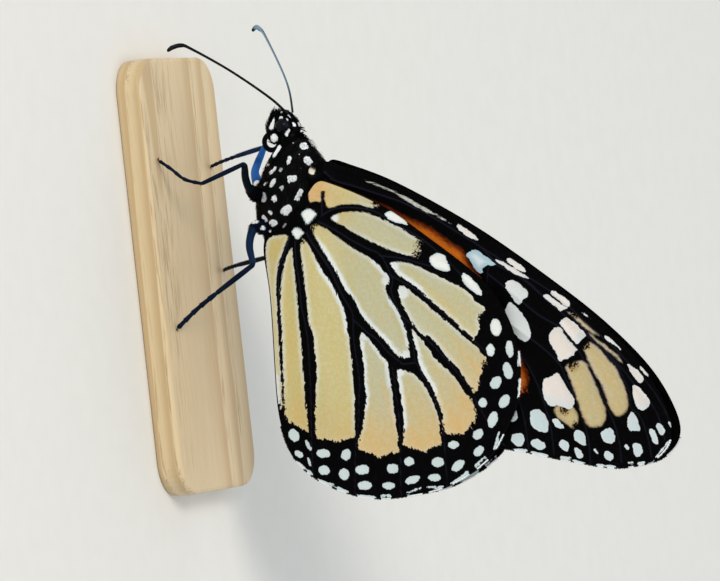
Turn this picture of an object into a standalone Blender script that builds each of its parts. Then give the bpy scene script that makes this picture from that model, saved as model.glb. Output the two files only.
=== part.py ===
# A life-size monarch butterfly, standing with its wings closed on a thin wooden base.
# Lengths here are millimetres, and add_mesh turns them into metres. +Z is up, the head faces -X
# and the left side faces -Y. The origin is the centre of the base's underside.
import math

import bpy
import bmesh
from mathutils import Matrix, Vector

MM = 0.001

# Base
BASE_LENGTH = 50.0
BASE_WIDTH = 22.0
BASE_HEIGHT = 3.0
BASE_CORNER = 4.0
BASE_EDGE = 0.4

# Clearances between solids that touch in life
GAP = 0.06
FOOT_GAP = 0.02
WELD = 1e-4

# Wings
WING_THICKNESS = 0.5
WING_RINGS = (0.1, 0.25, 0.5, 0.78, 1.0)
FORE_HINGE = (-9.9, 20.4)
FORE_SPAN = 51.0
FORE_ROOT_SPREAD = 2.0
FORE_MIDDLE = 0.38
FORE_TIP_SPREAD = 1.2
FORE_ROOT_REACH = 5.0
HIND_HINGE = (-3.2, 17.2)
HIND_OUTSIDE_FORE = 0.8
HIND_OUTSIDE_BODY = 1.15

# Wing outlines as (x, z), from the hinge along the leading edge, round the tip and back
FORE_OUTLINE = (
    (-11.0, 20.6), (-10.4, 22.8), (-7.6, 28.7), (-1.5, 37.9), (6.0, 46.9), (11.3, 52.4),
    (16.5, 56.5), (21.3, 58.6), (24.3, 58.6), (26.4, 56.3), (26.9, 52.2), (25.9, 47.3),
    (24.2, 41.3), (22.6, 36.2), (19.0, 33.2), (8.0, 28.6), (-4.0, 22.8), (-8.6, 19.6),
)
HIND_OUTLINE = (
    (-7.2, 18.4), (-8.9, 20.2), (-8.4, 22.0), (-5.5, 27.0), (-1.4, 32.0), (4.3, 38.2),
    (8.3, 40.6), (12.7, 41.6), (17.9, 41.0), (21.6, 38.9), (24.6, 36.4), (26.9, 31.8),
    (27.7, 26.9), (27.5, 21.6), (25.4, 16.4), (22.3, 13.1), (18.1, 11.9), (11.7, 12.2),
    (3.6, 12.6), (-1.8, 12.5), (-3.6, 13.4), (-4.1, 15.4),
)

# Trunk sections as (x, middle z, half height, half width), out to the tips of the hair
HEAD_SECTIONS = (
    (-17.7, 16.1, 0.25, 0.45), (-17.1, 16.2, 0.85, 1.0), (-16.2, 16.3, 1.25, 1.3),
    (-15.3, 16.3, 1.45, 1.35), (-14.5, 16.3, 1.25, 1.2), (-14.0, 16.3, 0.8, 0.8),
)
THORAX_SECTIONS = (
    (-13.9, 16.5, 1.0, 0.9), (-13.3, 16.9, 1.95, 1.5), (-12.0, 16.7, 2.95, 2.2),
    (-10.4, 16.3, 3.75, 2.65), (-8.4, 15.8, 4.6, 2.75), (-6.4, 15.4, 4.5, 2.65),
    (-4.6, 15.2, 3.8, 2.35), (-3.2, 15.2, 2.8, 2.0), (-2.2, 15.2, 1.8, 1.5),
)
ABDOMEN_SECTIONS = (
    (-2.05, 15.2, 1.5, 1.35), (-0.8, 15.1, 1.85, 1.7), (2.5, 15.0, 2.0, 1.85),
    (6.5, 14.9, 1.9, 1.8), (10.0, 14.7, 1.55, 1.5), (12.6, 14.5, 1.05, 1.05),
    (14.2, 14.3, 0.45, 0.5),
)
TRUNK_SIDES = 20

# Head parts, given for the left side and mirrored for the right
EYE_CENTRE = (-15.6, -1.15, 15.95)
EYE_RADIUS = 0.92
PALP_PATH = (
    (-14.1, -0.78, 14.75), (-14.9, -0.9, 14.35), (-16.2, -0.93, 14.45), (-17.8, -0.72, 15.0),
)
PALP_RADII = (0.3, 0.42, 0.4, 0.26)
COIL_CENTRE = (-14.1, 0.0, 13.9)
COIL_OUTER = 1.02
COIL_INNER = 0.36
COIL_TURNS = 1.2
COIL_TUBE = 0.25
FORELEG_PATH = (
    (-11.2, -2.1, 13.4), (-12.5, -1.95, 14.0), (-13.4, -1.62, 15.0), (-13.5, -1.72, 14.1),
    (-12.6, -1.95, 13.1), (-11.6, -2.1, 12.5),
)
FORELEG_RADII = (0.3, 0.32, 0.3, 0.27, 0.26, 0.25)

# Antennae, which differ a little because the insect holds them so
ANTENNA_PATHS = {
    "left": (
        (-16.9, -0.7, 16.6), (-19.0, -2.7, 15.4), (-22.5, -6.6, 12.5), (-25.4, -10.2, 9.5),
        (-26.0, -11.1, 8.7), (-25.8, -11.8, 7.9), (-25.3, -12.3, 7.5),
    ),
    "right": (
        (-17.1, 0.7, 16.6), (-19.7, 3.3, 15.4), (-22.4, 6.0, 13.6), (-26.6, 10.2, 10.3),
        (-27.5, 11.2, 9.3), (-27.8, 11.8, 8.6), (-27.4, 12.3, 7.9),
    ),
}
ANTENNA_RADII = (0.25, 0.25, 0.25, 0.27, 0.33, 0.33, 0.26)

# Walking legs: path, radius at each point, then the path points where knee and ankle lie
LEG_PATHS = {
    "mid_left": (
        (-8.2, -1.1, 12.5), (-8.3, -2.4, 11.8), (-9.7, -3.7, 11.5), (-11.9, -5.0, 12.5),
        (-10.4, -7.2, 8.0), (-11.3, -7.8, 5.2), (-13.3, -8.1, 2.6),
    ),
    "hind_left": (
        (-4.8, -1.1, 12.6), (-4.3, -2.3, 11.7), (-2.9, -3.6, 11.2), (-0.2, -5.0, 12.2),
        (2.5, -6.8, 7.9), (4.1, -7.4, 5.5), (6.0, -8.1, 2.6),
    ),
    "mid_right": (
        (-8.6, 0.9, 11.9), (-9.2, 2.2, 10.5), (-11.2, 3.3, 10.2), (-13.8, 4.2, 11.0),
        (-13.0, 5.4, 7.0), (-12.6, 6.0, 4.9), (-12.2, 6.7, 2.6),
    ),
    "hind_right": (
        (-3.9, 1.0, 12.3), (-3.0, 1.8, 11.6), (-2.0, 2.7, 11.3), (-1.0, 3.7, 10.2),
        (-0.5, 5.7, 5.6), (-0.3, 6.4, 4.2), (-0.1, 7.1, 2.6),
    ),
}
LEG_RADII = (0.4, 0.42, 0.4, 0.34, 0.27, 0.26, 0.26)
KNEE_POINT = 3
ANKLE_POINT = 4
CURVE_STEPS = 4

COLOURS = {
    "black_hair": ((0.004, 0.004, 0.006), 0.8),
    "eye": ((0.012, 0.012, 0.03), 0.15),
    "leg": ((0.005, 0.01, 0.02), 0.3),
    "wing": ((0.62, 0.42, 0.2), 0.6),
    "base_wood": ((0.5, 0.36, 0.22), 0.45),
}


def clear_scene():
    for item in list(bpy.data.objects):
        bpy.data.objects.remove(item, do_unlink=True)


def new_collection(name, hidden=False):
    collection = bpy.data.collections.new(name)
    bpy.context.scene.collection.children.link(collection)
    collection.hide_render = hidden
    return collection


def material(name):
    found = bpy.data.materials.get(name)
    if found:
        return found
    colour, roughness = COLOURS[name]
    made = bpy.data.materials.new(name)
    made.use_nodes = True
    shader = made.node_tree.nodes["Principled BSDF"]
    shader.inputs["Base Color"].default_value = (*colour, 1.0)
    shader.inputs["Roughness"].default_value = roughness
    made.diffuse_color = (*colour, 1.0)
    return made


def add_mesh(name, bm, material_name, collection):
    bmesh.ops.recalc_face_normals(bm, faces=bm.faces)
    bmesh.ops.scale(bm, verts=bm.verts, vec=(MM, MM, MM))
    mesh = bpy.data.meshes.new(name)
    bm.to_mesh(mesh)
    bm.free()
    mesh.shade_smooth()
    mesh.set_sharp_from_angle(angle=math.radians(50))
    made = bpy.data.objects.new(name, mesh)
    made.data.materials.append(material(material_name))
    collection.objects.link(made)
    return made


def smooth_step(value):
    t = min(max(value, 0.0), 1.0)
    return t * t * (3.0 - 2.0 * t)


def smooth_path(points, steps, closed=False):
    # Catmull-Rom curve: each span bends with the slope between its neighbours.
    count = len(points)
    points = [Vector(point) for point in points]
    spans = count if closed else count - 1
    path = []
    for span in range(spans):
        if closed:
            before, start, end, after = (points[(span + shift) % count] for shift in (-1, 0, 1, 2))
        else:
            start, end = points[span], points[span + 1]
            before = points[span - 1] if span else start
            after = points[span + 2] if span + 2 < count else end
        for step in range(steps):
            t = step / steps
            path.append(
                0.5 * (2.0 * start + (end - before) * t
                       + (2.0 * before - 5.0 * start + 4.0 * end - after) * t * t
                       + (3.0 * start - before - 3.0 * end + after) * t ** 3)
            )
    if not closed:
        path.append(points[-1])
    return path


def mirrored(points):
    return [(x, -y, z) for x, y, z in points]


# --- Trunk ---------------------------------------------------------------------------------

def loft(sections, bulges, grow=0.0):
    # A closed body of elliptical rings along X, whose two ends bulge by a share of their size.
    rings = smooth_path([Vector(section) for section in sections], 2)
    bm = bmesh.new()
    loops = []
    for x, z, half_height, half_width in rings:
        loops.append([
            bm.verts.new((
                x,
                (half_width + grow) * math.cos(math.tau * side / TRUNK_SIDES),
                z + (half_height + grow) * math.sin(math.tau * side / TRUNK_SIDES),
            ))
            for side in range(TRUNK_SIDES)
        ])
    for near, far in zip(loops, loops[1:]):
        for side in range(TRUNK_SIDES):
            follow = (side + 1) % TRUNK_SIDES
            bm.faces.new((near[side], near[follow], far[follow], far[side]))
    ends = ((loops[0], rings[0], -bulges[0]), (loops[-1], rings[-1], bulges[1]))
    for loop, section, bulge in ends:
        pole = bm.verts.new((section[0] + bulge * min(section[2], section[3]), 0.0, section[1]))
        for side in range(TRUNK_SIDES):
            bm.faces.new((loop[side], loop[(side + 1) % TRUNK_SIDES], pole))
    return bm


def cut_with(target, cutter):
    modifier = target.modifiers.new("cut_" + cutter.name, "BOOLEAN")
    modifier.operation = "DIFFERENCE"
    modifier.solver = "EXACT"
    modifier.object = cutter


def make_cutter(name, bm, cutters):
    cutter = add_mesh(name, bm, "black_hair", cutters)
    cutter.hide_render = True
    cutter.display_type = "WIRE"
    return cutter


def eye_ball(grow=0.0, side=1.0):
    bm = bmesh.new()
    bmesh.ops.create_uvsphere(bm, u_segments=16, v_segments=10, radius=EYE_RADIUS + grow)
    x, y, z = EYE_CENTRE
    bmesh.ops.translate(bm, verts=bm.verts, vec=(x, y * side, z))
    return bm


def coil_pocket():
    # A disc a little larger than the coiled tongue, cut from the head and thorax.
    bm = bmesh.new()
    radius = COIL_OUTER + COIL_TUBE + GAP
    bmesh.ops.create_cone(bm, cap_ends=True, segments=24, radius1=radius, radius2=radius,
                          depth=2.0 * (COIL_TUBE + GAP))
    bmesh.ops.rotate(bm, verts=bm.verts, matrix=Matrix.Rotation(math.pi / 2.0, 3, "X"))
    bmesh.ops.translate(bm, verts=bm.verts, vec=COIL_CENTRE)
    return bm


# --- Tubes ---------------------------------------------------------------------------------

def tube_mesh(path, radii, steps, resolution=2):
    # A round tube of changing radius along a smooth path, closed at both ends, as a mesh.
    points = smooth_path([(*point, radius) for point, radius in zip(path, radii)], steps)
    curve = bpy.data.curves.new("tube", "CURVE")
    curve.dimensions = "3D"
    curve.bevel_depth = 1.0
    curve.bevel_resolution = resolution
    curve.use_fill_caps = True
    spline = curve.splines.new("POLY")
    spline.points.add(len(points) - 1)
    for spot, (x, y, z, radius) in zip(spline.points, points):
        spot.co = (x, y, z, 1.0)
        spot.radius = radius
    holder = bpy.data.objects.new("tube", curve)
    bpy.context.scene.collection.objects.link(holder)
    bpy.context.view_layer.update()
    evaluated = holder.evaluated_get(bpy.context.evaluated_depsgraph_get())
    mesh = bpy.data.meshes.new_from_object(evaluated)
    bm = bmesh.new()
    bm.from_mesh(mesh)
    bmesh.ops.remove_doubles(bm, verts=bm.verts, dist=WELD)
    bpy.data.objects.remove(holder)
    bpy.data.meshes.remove(mesh)
    return bm


def keep_beyond(bm, point, normal):
    # Cuts the mesh by a plane, keeps what lies on the normal's side and closes the cut.
    geometry = bm.verts[:] + bm.edges[:] + bm.faces[:]
    bmesh.ops.bisect_plane(bm, geom=geometry, dist=WELD, plane_co=point, plane_no=normal,
                           clear_inner=True)
    rim = [edge for edge in bm.edges if edge.is_boundary]
    bmesh.ops.holes_fill(bm, edges=rim, sides=0)


def joint_plane(path, index):
    # The plane through a path point that halves the angle between its two spans.
    here = Vector(path[index])
    arriving = (here - Vector(path[index - 1])).normalized()
    leaving = (Vector(path[index + 1]) - here).normalized()
    return here, (arriving + leaving).normalized()


def make_leg(name, path, body_cutter, collection):
    knee, knee_way = joint_plane(path, KNEE_POINT)
    ankle, ankle_way = joint_plane(path, ANKLE_POINT)
    half = GAP / 2.0
    ground = Vector((0.0, 0.0, BASE_HEIGHT + FOOT_GAP))
    limits = {
        "femur": [(knee - knee_way * half, -knee_way)],
        "tibia": [(knee + knee_way * half, knee_way), (ankle - ankle_way * half, -ankle_way)],
        "tarsus": [(ankle + ankle_way * half, ankle_way), (ground, Vector((0.0, 0.0, 1.0)))],
    }
    for segment, planes in limits.items():
        bm = tube_mesh(path, LEG_RADII, CURVE_STEPS)
        for point, normal in planes:
            keep_beyond(bm, point, normal)
        bmesh.ops.triangulate(bm, faces=bm.faces)
        made = add_mesh("leg_" + name + "_" + segment, bm, "leg", collection)
        if segment == "femur":
            cut_with(made, body_cutter)


def make_proboscis(collection):
    # A flat spiral whose radius falls evenly from the outer to the inner turn.
    turn_points = 12
    count = int(COIL_TURNS * turn_points)
    path = []
    for step in range(count + 1):
        share = step / count
        angle = math.radians(100.0) + math.tau * COIL_TURNS * share
        radius = COIL_OUTER + (COIL_INNER - COIL_OUTER) * share
        path.append((COIL_CENTRE[0] + radius * math.cos(angle), COIL_CENTRE[1],
                     COIL_CENTRE[2] + radius * math.sin(angle)))
    bm = tube_mesh(path, [COIL_TUBE] * len(path), 1, 1)
    add_mesh("proboscis", bm, "leg", collection)


# --- Wings ---------------------------------------------------------------------------------

def fore_offset(x, z):
    # Half the distance between the two forewings: wide at the hinge, narrow in the middle,
    # and opening again towards the tips.
    reach = math.hypot(x - FORE_HINGE[0], z - FORE_HINGE[1])
    return (FORE_MIDDLE + FORE_ROOT_SPREAD * math.exp(-reach / FORE_ROOT_REACH)
            + FORE_TIP_SPREAD * (reach / FORE_SPAN) ** 4)


def hind_offset(x, z):
    # The hindwing lies outside the forewing, and bulges over the abdomen.
    over_body = smooth_step((22.0 - z) / 5.0) * smooth_step((22.0 - x) / 10.0)
    return fore_offset(x, z) + HIND_OUTSIDE_FORE + HIND_OUTSIDE_BODY * over_body


def make_wing(name, hinge, outline, offset, side, collection):
    # Rings round the hinge that grow until the last one is the outline, then thickened.
    edge = smooth_path(outline, 2, closed=True)
    bm = bmesh.new()

    def vertex(x, z):
        return bm.verts.new((x, side * offset(x, z), z))

    centre = vertex(*hinge)
    loops = []
    for share in WING_RINGS:
        loops.append([
            vertex(hinge[0] + share * (x - hinge[0]), hinge[1] + share * (z - hinge[1]))
            for x, z in edge
        ])
    count = len(edge)
    for step in range(count):
        follow = (step + 1) % count
        bm.faces.new((centre, loops[0][step], loops[0][follow]))
        for near, far in zip(loops, loops[1:]):
            bm.faces.new((near[step], far[step], far[follow], near[follow]))
    bmesh.ops.triangulate(bm, faces=bm.faces)
    wing = add_mesh(name, bm, "wing", collection)
    thickness = wing.modifiers.new("thickness", "SOLIDIFY")
    thickness.thickness = WING_THICKNESS * MM
    thickness.offset = 0.0


# --- Assembly ------------------------------------------------------------------------------

def make_trunk(collection, cutters):
    head = add_mesh("head", loft(HEAD_SECTIONS, (0.5, 0.0)), "black_hair", collection)
    thorax = add_mesh("thorax", loft(THORAX_SECTIONS, (0.0, 0.0)), "black_hair", collection)
    add_mesh("abdomen", loft(ABDOMEN_SECTIONS, (0.0, 0.6)), "black_hair", collection)
    pocket = make_cutter("coil_pocket", coil_pocket(), cutters)
    cut_with(head, pocket)
    cut_with(thorax, pocket)
    for side_name, side in (("left", 1.0), ("right", -1.0)):
        add_mesh("eye_" + side_name, eye_ball(side=side), "eye", collection)
        cut_with(head, make_cutter("socket_" + side_name, eye_ball(GAP, side), cutters))
        palp = PALP_PATH if side > 0.0 else mirrored(PALP_PATH)
        add_mesh("palp_" + side_name, tube_mesh(palp, PALP_RADII, 3), "black_hair", collection)
        fat_palp = tube_mesh(palp, [radius + GAP for radius in PALP_RADII], 3)
        cut_with(head, make_cutter("palp_groove_" + side_name, fat_palp, cutters))
    return head


def make_limbs(head, collection, cutters):
    body_cutter = make_cutter("body_clearance", loft(THORAX_SECTIONS, (0.0, 0.0), GAP), cutters)
    for name, path in LEG_PATHS.items():
        make_leg(name, path, body_cutter, collection)
    for side_name in ("left", "right"):
        path = FORELEG_PATH if side_name == "left" else mirrored(FORELEG_PATH)
        foreleg = add_mesh("foreleg_" + side_name, tube_mesh(path, FORELEG_RADII, 3),
                           "black_hair", collection)
        cut_with(foreleg, body_cutter)
        antenna = ANTENNA_PATHS[side_name]
        add_mesh("antenna_" + side_name, tube_mesh(antenna, ANTENNA_RADII, 4), "leg", collection)
        socket = tube_mesh(antenna, [radius + GAP for radius in ANTENNA_RADII], 4)
        cut_with(head, make_cutter("antenna_socket_" + side_name, socket, cutters))
    make_proboscis(collection)


def make_wings(collection):
    for side_name, side in (("left", -1.0), ("right", 1.0)):
        make_wing("forewing_" + side_name, FORE_HINGE, FORE_OUTLINE, fore_offset, side, collection)
        make_wing("hindwing_" + side_name, HIND_HINGE, HIND_OUTLINE, hind_offset, side, collection)


def make_base(collection):
    bm = bmesh.new()
    bmesh.ops.create_cube(bm, size=1.0)
    bmesh.ops.scale(bm, verts=bm.verts, vec=(BASE_LENGTH, BASE_WIDTH, BASE_HEIGHT))
    bmesh.ops.translate(bm, verts=bm.verts, vec=(0.0, 0.0, BASE_HEIGHT / 2.0))
    uprights = [edge for edge in bm.edges if abs(edge.verts[0].co.z - edge.verts[1].co.z) > 1.0]
    bmesh.ops.bevel(bm, geom=uprights, offset=BASE_CORNER, segments=8, profile=0.5,
                    affect="EDGES")
    base = add_mesh("stand_base", bm, "base_wood", collection)
    edge = base.modifiers.new("eased_edge", "BEVEL")
    edge.width = BASE_EDGE * MM
    edge.segments = 2
    edge.limit_method = "ANGLE"
    edge.angle_limit = math.radians(50)


def main():
    clear_scene()
    collection = new_collection("monarch_butterfly")
    cutters = new_collection("cutters", hidden=True)
    head = make_trunk(collection, cutters)
    make_limbs(head, collection, cutters)
    make_wings(collection)
    make_base(collection)


main()
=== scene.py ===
# A life-size monarch butterfly on a thin wooden base, its wings closed over its back.
# Lengths are millimetres until toMesh turns them into metres. The head faces -X, the left side -Y.
import math

import bpy
import mathutils
import numpy as np
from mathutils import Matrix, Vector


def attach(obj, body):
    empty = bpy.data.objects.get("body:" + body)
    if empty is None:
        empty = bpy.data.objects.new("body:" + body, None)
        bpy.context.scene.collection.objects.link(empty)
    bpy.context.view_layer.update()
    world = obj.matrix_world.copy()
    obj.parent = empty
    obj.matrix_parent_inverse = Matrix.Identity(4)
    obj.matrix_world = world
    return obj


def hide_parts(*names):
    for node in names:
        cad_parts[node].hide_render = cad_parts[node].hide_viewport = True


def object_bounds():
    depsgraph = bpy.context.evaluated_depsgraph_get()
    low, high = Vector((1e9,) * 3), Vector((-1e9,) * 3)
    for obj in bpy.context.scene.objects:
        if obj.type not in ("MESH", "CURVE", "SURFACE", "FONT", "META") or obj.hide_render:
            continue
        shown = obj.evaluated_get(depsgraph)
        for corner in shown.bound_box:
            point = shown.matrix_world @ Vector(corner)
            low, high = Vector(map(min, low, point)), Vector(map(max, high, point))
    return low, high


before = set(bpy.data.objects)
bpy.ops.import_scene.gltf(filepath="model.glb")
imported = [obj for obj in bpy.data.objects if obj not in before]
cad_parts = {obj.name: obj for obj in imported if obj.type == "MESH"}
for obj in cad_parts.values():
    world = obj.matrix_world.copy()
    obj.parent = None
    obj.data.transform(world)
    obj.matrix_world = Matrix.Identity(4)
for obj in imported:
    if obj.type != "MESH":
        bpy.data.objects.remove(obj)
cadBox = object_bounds()
perMetre = 1000.0
lowest, highest = (np.array(corner) * perMetre for corner in cadBox)
sides = {"left": -1.0, "right": 1.0}


# Small tools for numbers and meshes

def smoothStep(value):
    # 0 below 0, 1 above 1, and 3t^2 - 2t^3 between
    t = np.clip(value, 0.0, 1.0)
    return t * t * (3.0 - 2.0 * t)


def unit(ways):
    return ways / (np.linalg.norm(ways, axis=-1)[..., None] + 1e-12)


def mirrored(places, sideName):
    return np.asarray(places, float) * (1.0, 1.0 if sideName == "left" else -1.0, 1.0)


def smoothPath(points, steps, closed=False):
    # Catmull-Rom curve: a cubic over each span, with the slope of the chord between its neighbours
    p = np.asarray(points, float)
    if closed:
        before, start, end, after = np.roll(p, 1, 0), p, np.roll(p, -1, 0), np.roll(p, -2, 0)
    else:
        padded = np.vstack([p[:1], p, p[-1:]])
        before, start, end, after = padded[:-3], padded[1:-2], padded[2:-1], padded[3:]
    t = (np.arange(steps) / steps)[None, :, None]
    before, start, end, after = (part[:, None, :] for part in (before, start, end, after))
    curve = 0.5 * (2.0 * start + (end - before) * t
                   + (2.0 * before - 5.0 * start + 4.0 * end - after) * t ** 2
                   + (3.0 * start - before - 3.0 * end + after) * t ** 3)
    curve = curve.reshape(-1, p.shape[1])
    return curve if closed else np.vstack([curve, p[-1:]])


def evenly(path, count):
    # The path again with count points at equal distances along it
    steps = np.linalg.norm(np.diff(path[:, :3], axis=0), axis=1)
    along = np.concatenate([[0.0], np.cumsum(steps)])
    wanted = np.linspace(0.0, along[-1], count)
    return np.stack([np.interp(wanted, along, column) for column in path.T], 1)


def gridFaces(rows, columns, aroundColumns=False):
    # Quads between neighbouring points of a grid stored row after row
    row = np.arange(rows - 1)[:, None]
    column = np.arange(columns if aroundColumns else columns - 1)[None, :]
    follow = (column + 1) % columns
    corners = [row * columns + column, row * columns + follow,
               (row + 1) * columns + follow, (row + 1) * columns + column]
    return np.stack([corner.ravel() for corner in corners], 1)


def toMesh(name, points, faces, material, values=None, bakePlace=None):
    # Points in mm become a mesh in metres. faces is a list of index arrays, quads or triangles.
    mesh = bpy.data.meshes.new(name)
    loops = np.concatenate([part.ravel() for part in faces]).astype(np.int32)
    totals = np.concatenate([np.full(len(part), part.shape[1]) for part in faces]).astype(np.int32)
    mesh.vertices.add(len(points))
    mesh.vertices.foreach_set("co", np.asarray(points, float).ravel() / perMetre)
    mesh.loops.add(len(loops))
    mesh.loops.foreach_set("vertex_index", loops)
    mesh.polygons.add(len(totals))
    mesh.polygons.foreach_set("loop_start", np.concatenate([[0], np.cumsum(totals)[:-1]]).astype(np.int32))
    mesh.polygons.foreach_set("loop_total", totals)
    mesh.update(calc_edges=True)
    for key, value in (values or {}).items():
        attribute = mesh.attributes.new(key, "FLOAT", "POINT")
        attribute.data.foreach_set("value", np.asarray(value, np.float32).ravel())
    if bakePlace is not None:
        layer = mesh.uv_layers.new(name="OFBake")
        perCorner = bakePlace if len(bakePlace) == len(loops) else bakePlace[loops]
        layer.data.foreach_set("uv", np.asarray(perCorner, np.float32).ravel())
    mesh.validate()
    mesh.shade_smooth()
    made = bpy.data.objects.new(name, mesh)
    made.data.materials.append(material)
    bpy.context.scene.collection.objects.link(made)
    return made


def place(piece, slotName, *nodes):
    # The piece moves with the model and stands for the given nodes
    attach(piece, "root")
    if nodes:
        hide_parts(*nodes)
    return piece


def turnOut(made):
    # Flips every face of a closed piece if its signed volume is below 0
    mesh = made.data
    mesh.calc_loop_triangles()
    points = np.empty(len(mesh.vertices) * 3)
    mesh.vertices.foreach_get("co", points)
    corners = np.empty(len(mesh.loop_triangles) * 3, np.int32)
    mesh.loop_triangles.foreach_get("vertices", corners)
    a, b, c = points.reshape(-1, 3)[corners.reshape(-1, 3)].transpose(1, 0, 2)
    if np.einsum("ij,ij->i", a, np.cross(b, c)).sum() < 0.0:
        mesh.flip_normals()


def closedTube(name, surface, rows, columns, material, values):
    # A grid over s and t, wrapped round t and closed by a pole at each end.
    # values(points, s, t) gives what the material reads.
    s, t = (part.ravel() for part in np.meshgrid(
        np.linspace(0, 1, rows), np.arange(columns) / columns, indexing="ij"))
    points = surface(s, t)
    grid = points.reshape(rows, columns, 3)
    points = np.vstack([points, grid[0].mean(0), grid[-1].mean(0)])
    index = np.arange(columns)
    follow = (index + 1) % columns
    first = np.full(columns, rows * columns)
    lastRow = (rows - 1) * columns
    caps = np.vstack([np.stack([follow, index, first], 1),
                      np.stack([index + lastRow, follow + lastRow, first + 1], 1)])
    # Unwrap: t along U and s along V, with the last column's far corners at U = 1
    row, column = (part.ravel() for part in np.meshgrid(np.arange(rows - 1), index, indexing="ij"))
    corners = np.stack([np.stack([row + down, column + right], 1)
                        for down, right in ((0, 0), (0, 1), (1, 1), (1, 0))], 1)
    unwrapped = corners.reshape(-1, 2) / (rows - 1.0, columns)
    ends = [np.stack([np.stack([np.full(columns, s0), t0 / columns], 1) for t0 in order], 1).reshape(-1, 2)
            for s0, order in ((0.0, (index + 1, index, index)), (1.0, (index, index + 1, index)))]
    bakePlace = 0.004 + 0.992 * np.vstack([unwrapped] + ends)
    made = toMesh(name, points, [gridFaces(rows, columns, True), caps], material,
                  values(points, np.append(s, [0.0, 1.0]), np.append(t, [0.0, 0.0])), bakePlace)
    turnOut(made)
    return made


def tubeSurface(path, radii, steps=12, ripple=None):
    # A round tube along a smooth path: centre + radius(s) (side cos - up sin) of the angle t turns,
    # with rounded ends. ripple(length, s) is a factor on the radius.
    spine = smoothPath(np.column_stack([path, radii]), steps)
    spine = evenly(spine, len(spine))
    way = unit(np.gradient(spine[:, :3], axis=0))
    side = np.empty_like(way)
    side[0] = np.cross(way[0], (0.0, 0.0, 1.0) if abs(way[0, 2]) < 0.9 else (0.0, 1.0, 0.0))
    for k in range(1, len(way)):
        side[k] = side[k - 1] - way[k] * (side[k - 1] @ way[k])
    side = unit(side)
    up = np.cross(way, side)
    size = np.linalg.norm(np.diff(spine[:, :3], axis=0), axis=1).sum()

    def surface(s, t):
        spot = np.clip(s, 0.0, 1.0) * (len(spine) - 1)
        middle, sideway, upward = (
            np.stack([np.interp(spot, np.arange(len(spine)), column) for column in table.T], -1)
            for table in (spine, side, up))
        angle = math.tau * np.asarray(t)[:, None]
        radius = middle[:, 3]
        if ripple is not None:
            radius = radius * ripple(s * size, s)
        fromEnd = np.minimum(s, 1.0 - s) * size / np.maximum(middle[:, 3], 1e-3)
        radius = (radius * np.maximum(np.sqrt(np.clip(fromEnd, 0.0, 1.0)), 0.02))[:, None]
        return middle[:, :3] + radius * (np.cos(angle) * sideway - np.sin(angle) * upward)

    return surface


def surfaceFrame(surface, s, t):
    # Place, outward normal, tangent along s and the area's size, from small steps in s and t
    step = 1e-3
    alongS = surface(np.minimum(s + step, 1.0), t) - surface(np.maximum(s - step, 0.0), t)
    alongT = surface(s, t + step) - surface(s, t - step)
    normal = np.cross(alongS, alongT)
    return surface(s, t), unit(normal), unit(alongS), np.linalg.norm(normal, axis=1)


# Small tools for materials

def toLinear(hexColour):
    # sRGB hex to linear: c/12.92 below 0.04045, else ((c + 0.055)/1.055)^2.4
    parts = [int(hexColour[i:i + 2], 16) / 255.0 for i in (1, 3, 5)]
    return tuple(c / 12.92 if c <= 0.04045 else ((c + 0.055) / 1.055) ** 2.4 for c in parts) + (1.0,)


# Words for the nodes used below: type, the sockets that values go to in order, output and settings
nodeWords = {
    "place": ("TexCoord", (), "Object", {}),
    "read": ("Attribute", (), "Fac", {}),
    "apart": ("SeparateXYZ", ("Vector",), "X", {}),
    "joined": ("CombineXYZ", ("X", "Y", "Z"), "Vector", {}),
    "grey": ("CombineColor", ("Red", "Green", "Blue"), "Color", {}),
    "stretched": ("Mapping", ("Vector", "Scale"), "Vector", {}),
    "noise": ("TexNoise", ("Vector", "Scale", "Detail", "Roughness"), "Fac", {}),
    "facets": ("TexVoronoi", ("Vector", "Scale"), "Distance", {"feature": "F1"}),
    "bump": ("Bump", ("Height", "Distance", "Strength"), "Normal", {}),
    "mix": ("Mix", (0, 6, 7), 2, {"data_type": "RGBA"}),
    # Carries the first two numbers to 0 and 1, or to the next two, with soft ends
    "spread": ("MapRange", ("Value", "From Min", "From Max", "To Min", "To Max"), "Result",
               {"interpolation_type": "SMOOTHSTEP"}),
}
for word, operation in {"plus": "ADD", "minus": "SUBTRACT", "times": "MULTIPLY", "least": "MINIMUM",
                        "most": "MAXIMUM", "root": "SQRT", "fraction": "FRACT"}.items():
    nodeWords[word] = ("Math", (0, 1), 0, {"operation": operation})


def startMaterial(name):
    # A new material, with the function that adds a node to it and the one that ends its main shader
    material = bpy.data.materials.new(name)
    material.use_nodes = True
    tree = material.node_tree

    def feed(node, sockets, values):
        # A number is set, a hex colour is turned linear, an output is linked, a name reads the mesh's value
        for key, value in zip(sockets, values):
            if isinstance(value, str):
                value = toLinear(value) if value[0] == "#" else add("read", attribute_name=value)
            if isinstance(value, bpy.types.NodeSocket):
                tree.links.new(value, node.inputs[key])
            else:
                node.inputs[key].default_value = value

    def add(word, *values, output=None, **settings):
        kind, sockets, usualOutput, usualSettings = nodeWords[word]
        node = tree.nodes.new("ShaderNode" + kind)
        for key, value in {**usualSettings, **settings}.items():
            setattr(node, key, value)
        feed(node, sockets, values)
        return node.outputs[usualOutput if output is None else output]

    def finish(**values):
        # Sockets of the main shader by their names, with _ for a space
        feed(tree.nodes["Principled BSDF"], [key.replace("_", " ") for key in values], values.values())
        return material

    return add, finish


# Wings: outlines, markings and veins are (x, z) positions on the wing, in mm

wing = {"thickness": 0.1, "veinRise": 0.07, "veinReach": 0.2, "wave": 0.12, "across": 150, "along": 300,
        "fringeLength": 0.26, "fringeWidth": 0.13}

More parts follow.
